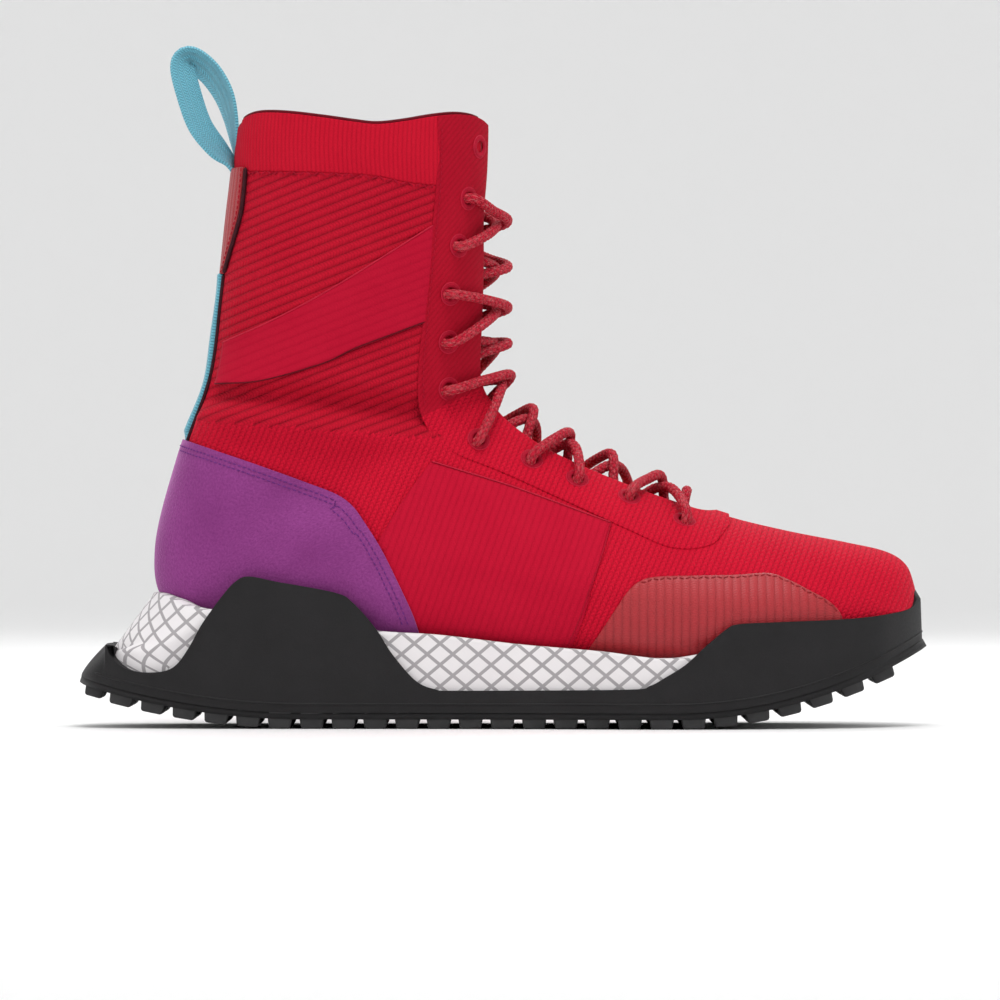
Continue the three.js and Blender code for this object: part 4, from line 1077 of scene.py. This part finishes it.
def tread():
    """The tread's plate and its lugs: rows of bevelled blocks across the sole."""
    line = plan_line(800, 0.4)
    lateral, medial = line[:400], line[400:][::-1]

    def reach(x, rim):
        order = np.argsort(rim[:, 0])
        return np.interp(x, rim[order, 0], rim[order, 1])

    x = np.linspace(-155.5, 155.5, 160)
    y = np.linspace(0, 1, 24)
    low, high = reach(x, lateral), reach(x, medial)
    span = low[:, None] + (high - low)[:, None] * y[None]
    z = np.broadcast_to((ground_line(x) + LUG_DEPTH)[:, None], span.shape)
    plate = np.stack([np.broadcast_to(x[:, None], span.shape), span, z], -1) * MM
    piece = patch("tread_plate", plate, side_uv(plate), MAT["rubber"])
    thicken(piece, 3.0, offset=1)
    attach(piece, "foot")
    ridge = plan_line(900, 0.15)
    height = ground_line(ridge[:, 0]) + LUG_DEPTH + 2.6
    ridge = wall_points(ridge, height, height, 2, lean=0.035)[0]
    ridge = ridge[ridge[:, 0] > -0.15]
    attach(tube("sidewall_ridge", ridge, 0.45, MAT["rubber"], around=8), "foot")
    bm = bmesh.new()
    fronts = [144.0 - LUG_PITCH * k for k in range(25)] + [-145.8]
    for front in fronts:
        length = LUG_LENGTH + 1.2 if front > -145 else 8.2
        back = front - length
        centre = (front + back) / 2
        rise = math.atan2(float(ground_line(front) - ground_line(back)), length)
        left = max(float(reach(front, lateral)), float(reach(back, lateral)))
        right = min(float(reach(front, medial)), float(reach(back, medial)))
        spans = [(left - 0.5, left * 0.56, -1), (left * 0.56 + 2.4, left * 0.1 - 2.0, 0),
                 (right * 0.1 + 2.0, right * 0.56 - 2.4, 0), (right * 0.56, right + 0.5, 1)]
        for low_y, high_y, outer in spans:
            made = bmesh.ops.create_cube(bm, size=1)["verts"]
            depth = LUG_DEPTH + (1.4 if outer else 1.0)
            bottom = [v for v in made if v.co.z < 0]
            bmesh.ops.scale(bm, vec=(0.78, 1, 1), verts=bottom)
            if outer:
                rim = [v for v in bottom if v.co.y * outer > 0]
                bmesh.ops.translate(bm, vec=(0, -outer * 1.6 / (high_y - low_y), 0), verts=rim)
            middle = (low_y + high_y) / 2
            size = Matrix.Diagonal((length, high_y - low_y, depth, 1))
            at = (centre, middle, float(ground_line(centre)) + depth / 2 * math.cos(rise))
            place = Matrix.Translation(Vector(at)) @ Matrix.Rotation(-rise, 4, "Y") @ size
            bmesh.ops.transform(bm, matrix=Matrix.Scale(MM, 4) @ place, verts=made)
    bmesh.ops.bevel(bm, geom=bm.edges[:], offset=0.9 * MM, segments=2, profile=0.5, affect="EDGES", material=-1)
    piece = finish_piece(bm, "tread_lugs", MAT["lug"])
    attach(piece, "foot")


def inner_pieces():
    for name, key in (("strobel_board", "board"), ("sockliner", "liner"), ("heel_stiffener", "board"),
                      ("toe_puff", "board")):
        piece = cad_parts[name]
        piece.data.materials.clear()
        piece.data.materials.append(MAT[key])


# ---- floor, light and camera ----
def studio():
    bm = bmesh.new()
    sweep = [(0.02, 0.0), (3.4, 0.0)] + [(3.4 + 1.6 * math.sin(a), 1.6 - 1.6 * math.cos(a))
                                         for a in np.linspace(0.1, 1.5, 12)] + [(5.0, 4.0)]
    rim = [bm.verts.new((x, 0, z)) for x, z in sweep]
    edges = [bm.edges.new(pair) for pair in zip(rim, rim[1:])]
    bmesh.ops.spin(bm, geom=rim + edges, cent=(0, 0, 0), axis=(0, 0, 1), angle=2 * math.pi, steps=96, use_merge=True)
    hub = [e for e in bm.edges if e.is_boundary and max(v.co.length for v in e.verts) < 0.05]
    bmesh.ops.contextual_create(bm, geom=hub)
    bmesh.ops.recalc_face_normals(bm, faces=bm.faces[:])
    if sum(f.normal.z for f in bm.faces) < 0:
        bmesh.ops.reverse_faces(bm, faces=bm.faces[:])
    m, _, shader = start_material("pale floor")
    surface(shader, Base_Color=(0.93, 0.93, 0.93, 1), Roughness=0.9)
    floor = finish_piece(bm, "floor", m)
    world = bpy.data.worlds.new("studio")
    world.use_nodes = True
    world.node_tree.nodes["Background"].inputs[0].default_value = (1, 1, 1, 1)
    world.node_tree.nodes["Background"].inputs[1].default_value = 0.84
    bpy.context.scene.world = world
    bpy.context.scene.view_settings.view_transform = "Standard"
    for name, place, power, size in (("key", (0.15, -0.75, 1.9), 17, 0.8), ("fill", (-1.3, -1.1, 0.5), 1.5, 1.2),
                                     ("rim", (0.2, 1.3, 1.2), 7, 1.0)):
        light = bpy.data.lights.new(name, "AREA")
        light.energy, light.size = power, size
        lamp = bpy.data.objects.new(name, light)
        lamp.location = place
        lamp.rotation_euler = (Vector((0, 0, 0.1)) - Vector(place)).to_track_quat("-Z", "Y").to_euler()
        bpy.context.collection.objects.link(lamp)
    camera = bpy.data.objects.new("camera", bpy.data.cameras.new("camera"))
    camera.data.lens, camera.data.sensor_width = 290, 36
    camera.location = (-0.0011, -2.98, 0.0836)
    camera.rotation_euler = (math.pi / 2, 0, 0)
    bpy.context.collection.objects.link(camera)
    bpy.context.scene.camera = camera


studio()
knit_upper()
collar_band()
for side_name, side in SIDES:
    facing(side_name, side)
    for number, place in enumerate(PLACES[side_name]):
        eyelet(number, side_name, side, place)
tongue()
lace()
overlays()
heel_counter()
heel_tab()
spine_tape()
pull_loop()
rubber_shell()
midsole()
tread()
inner_pieces()
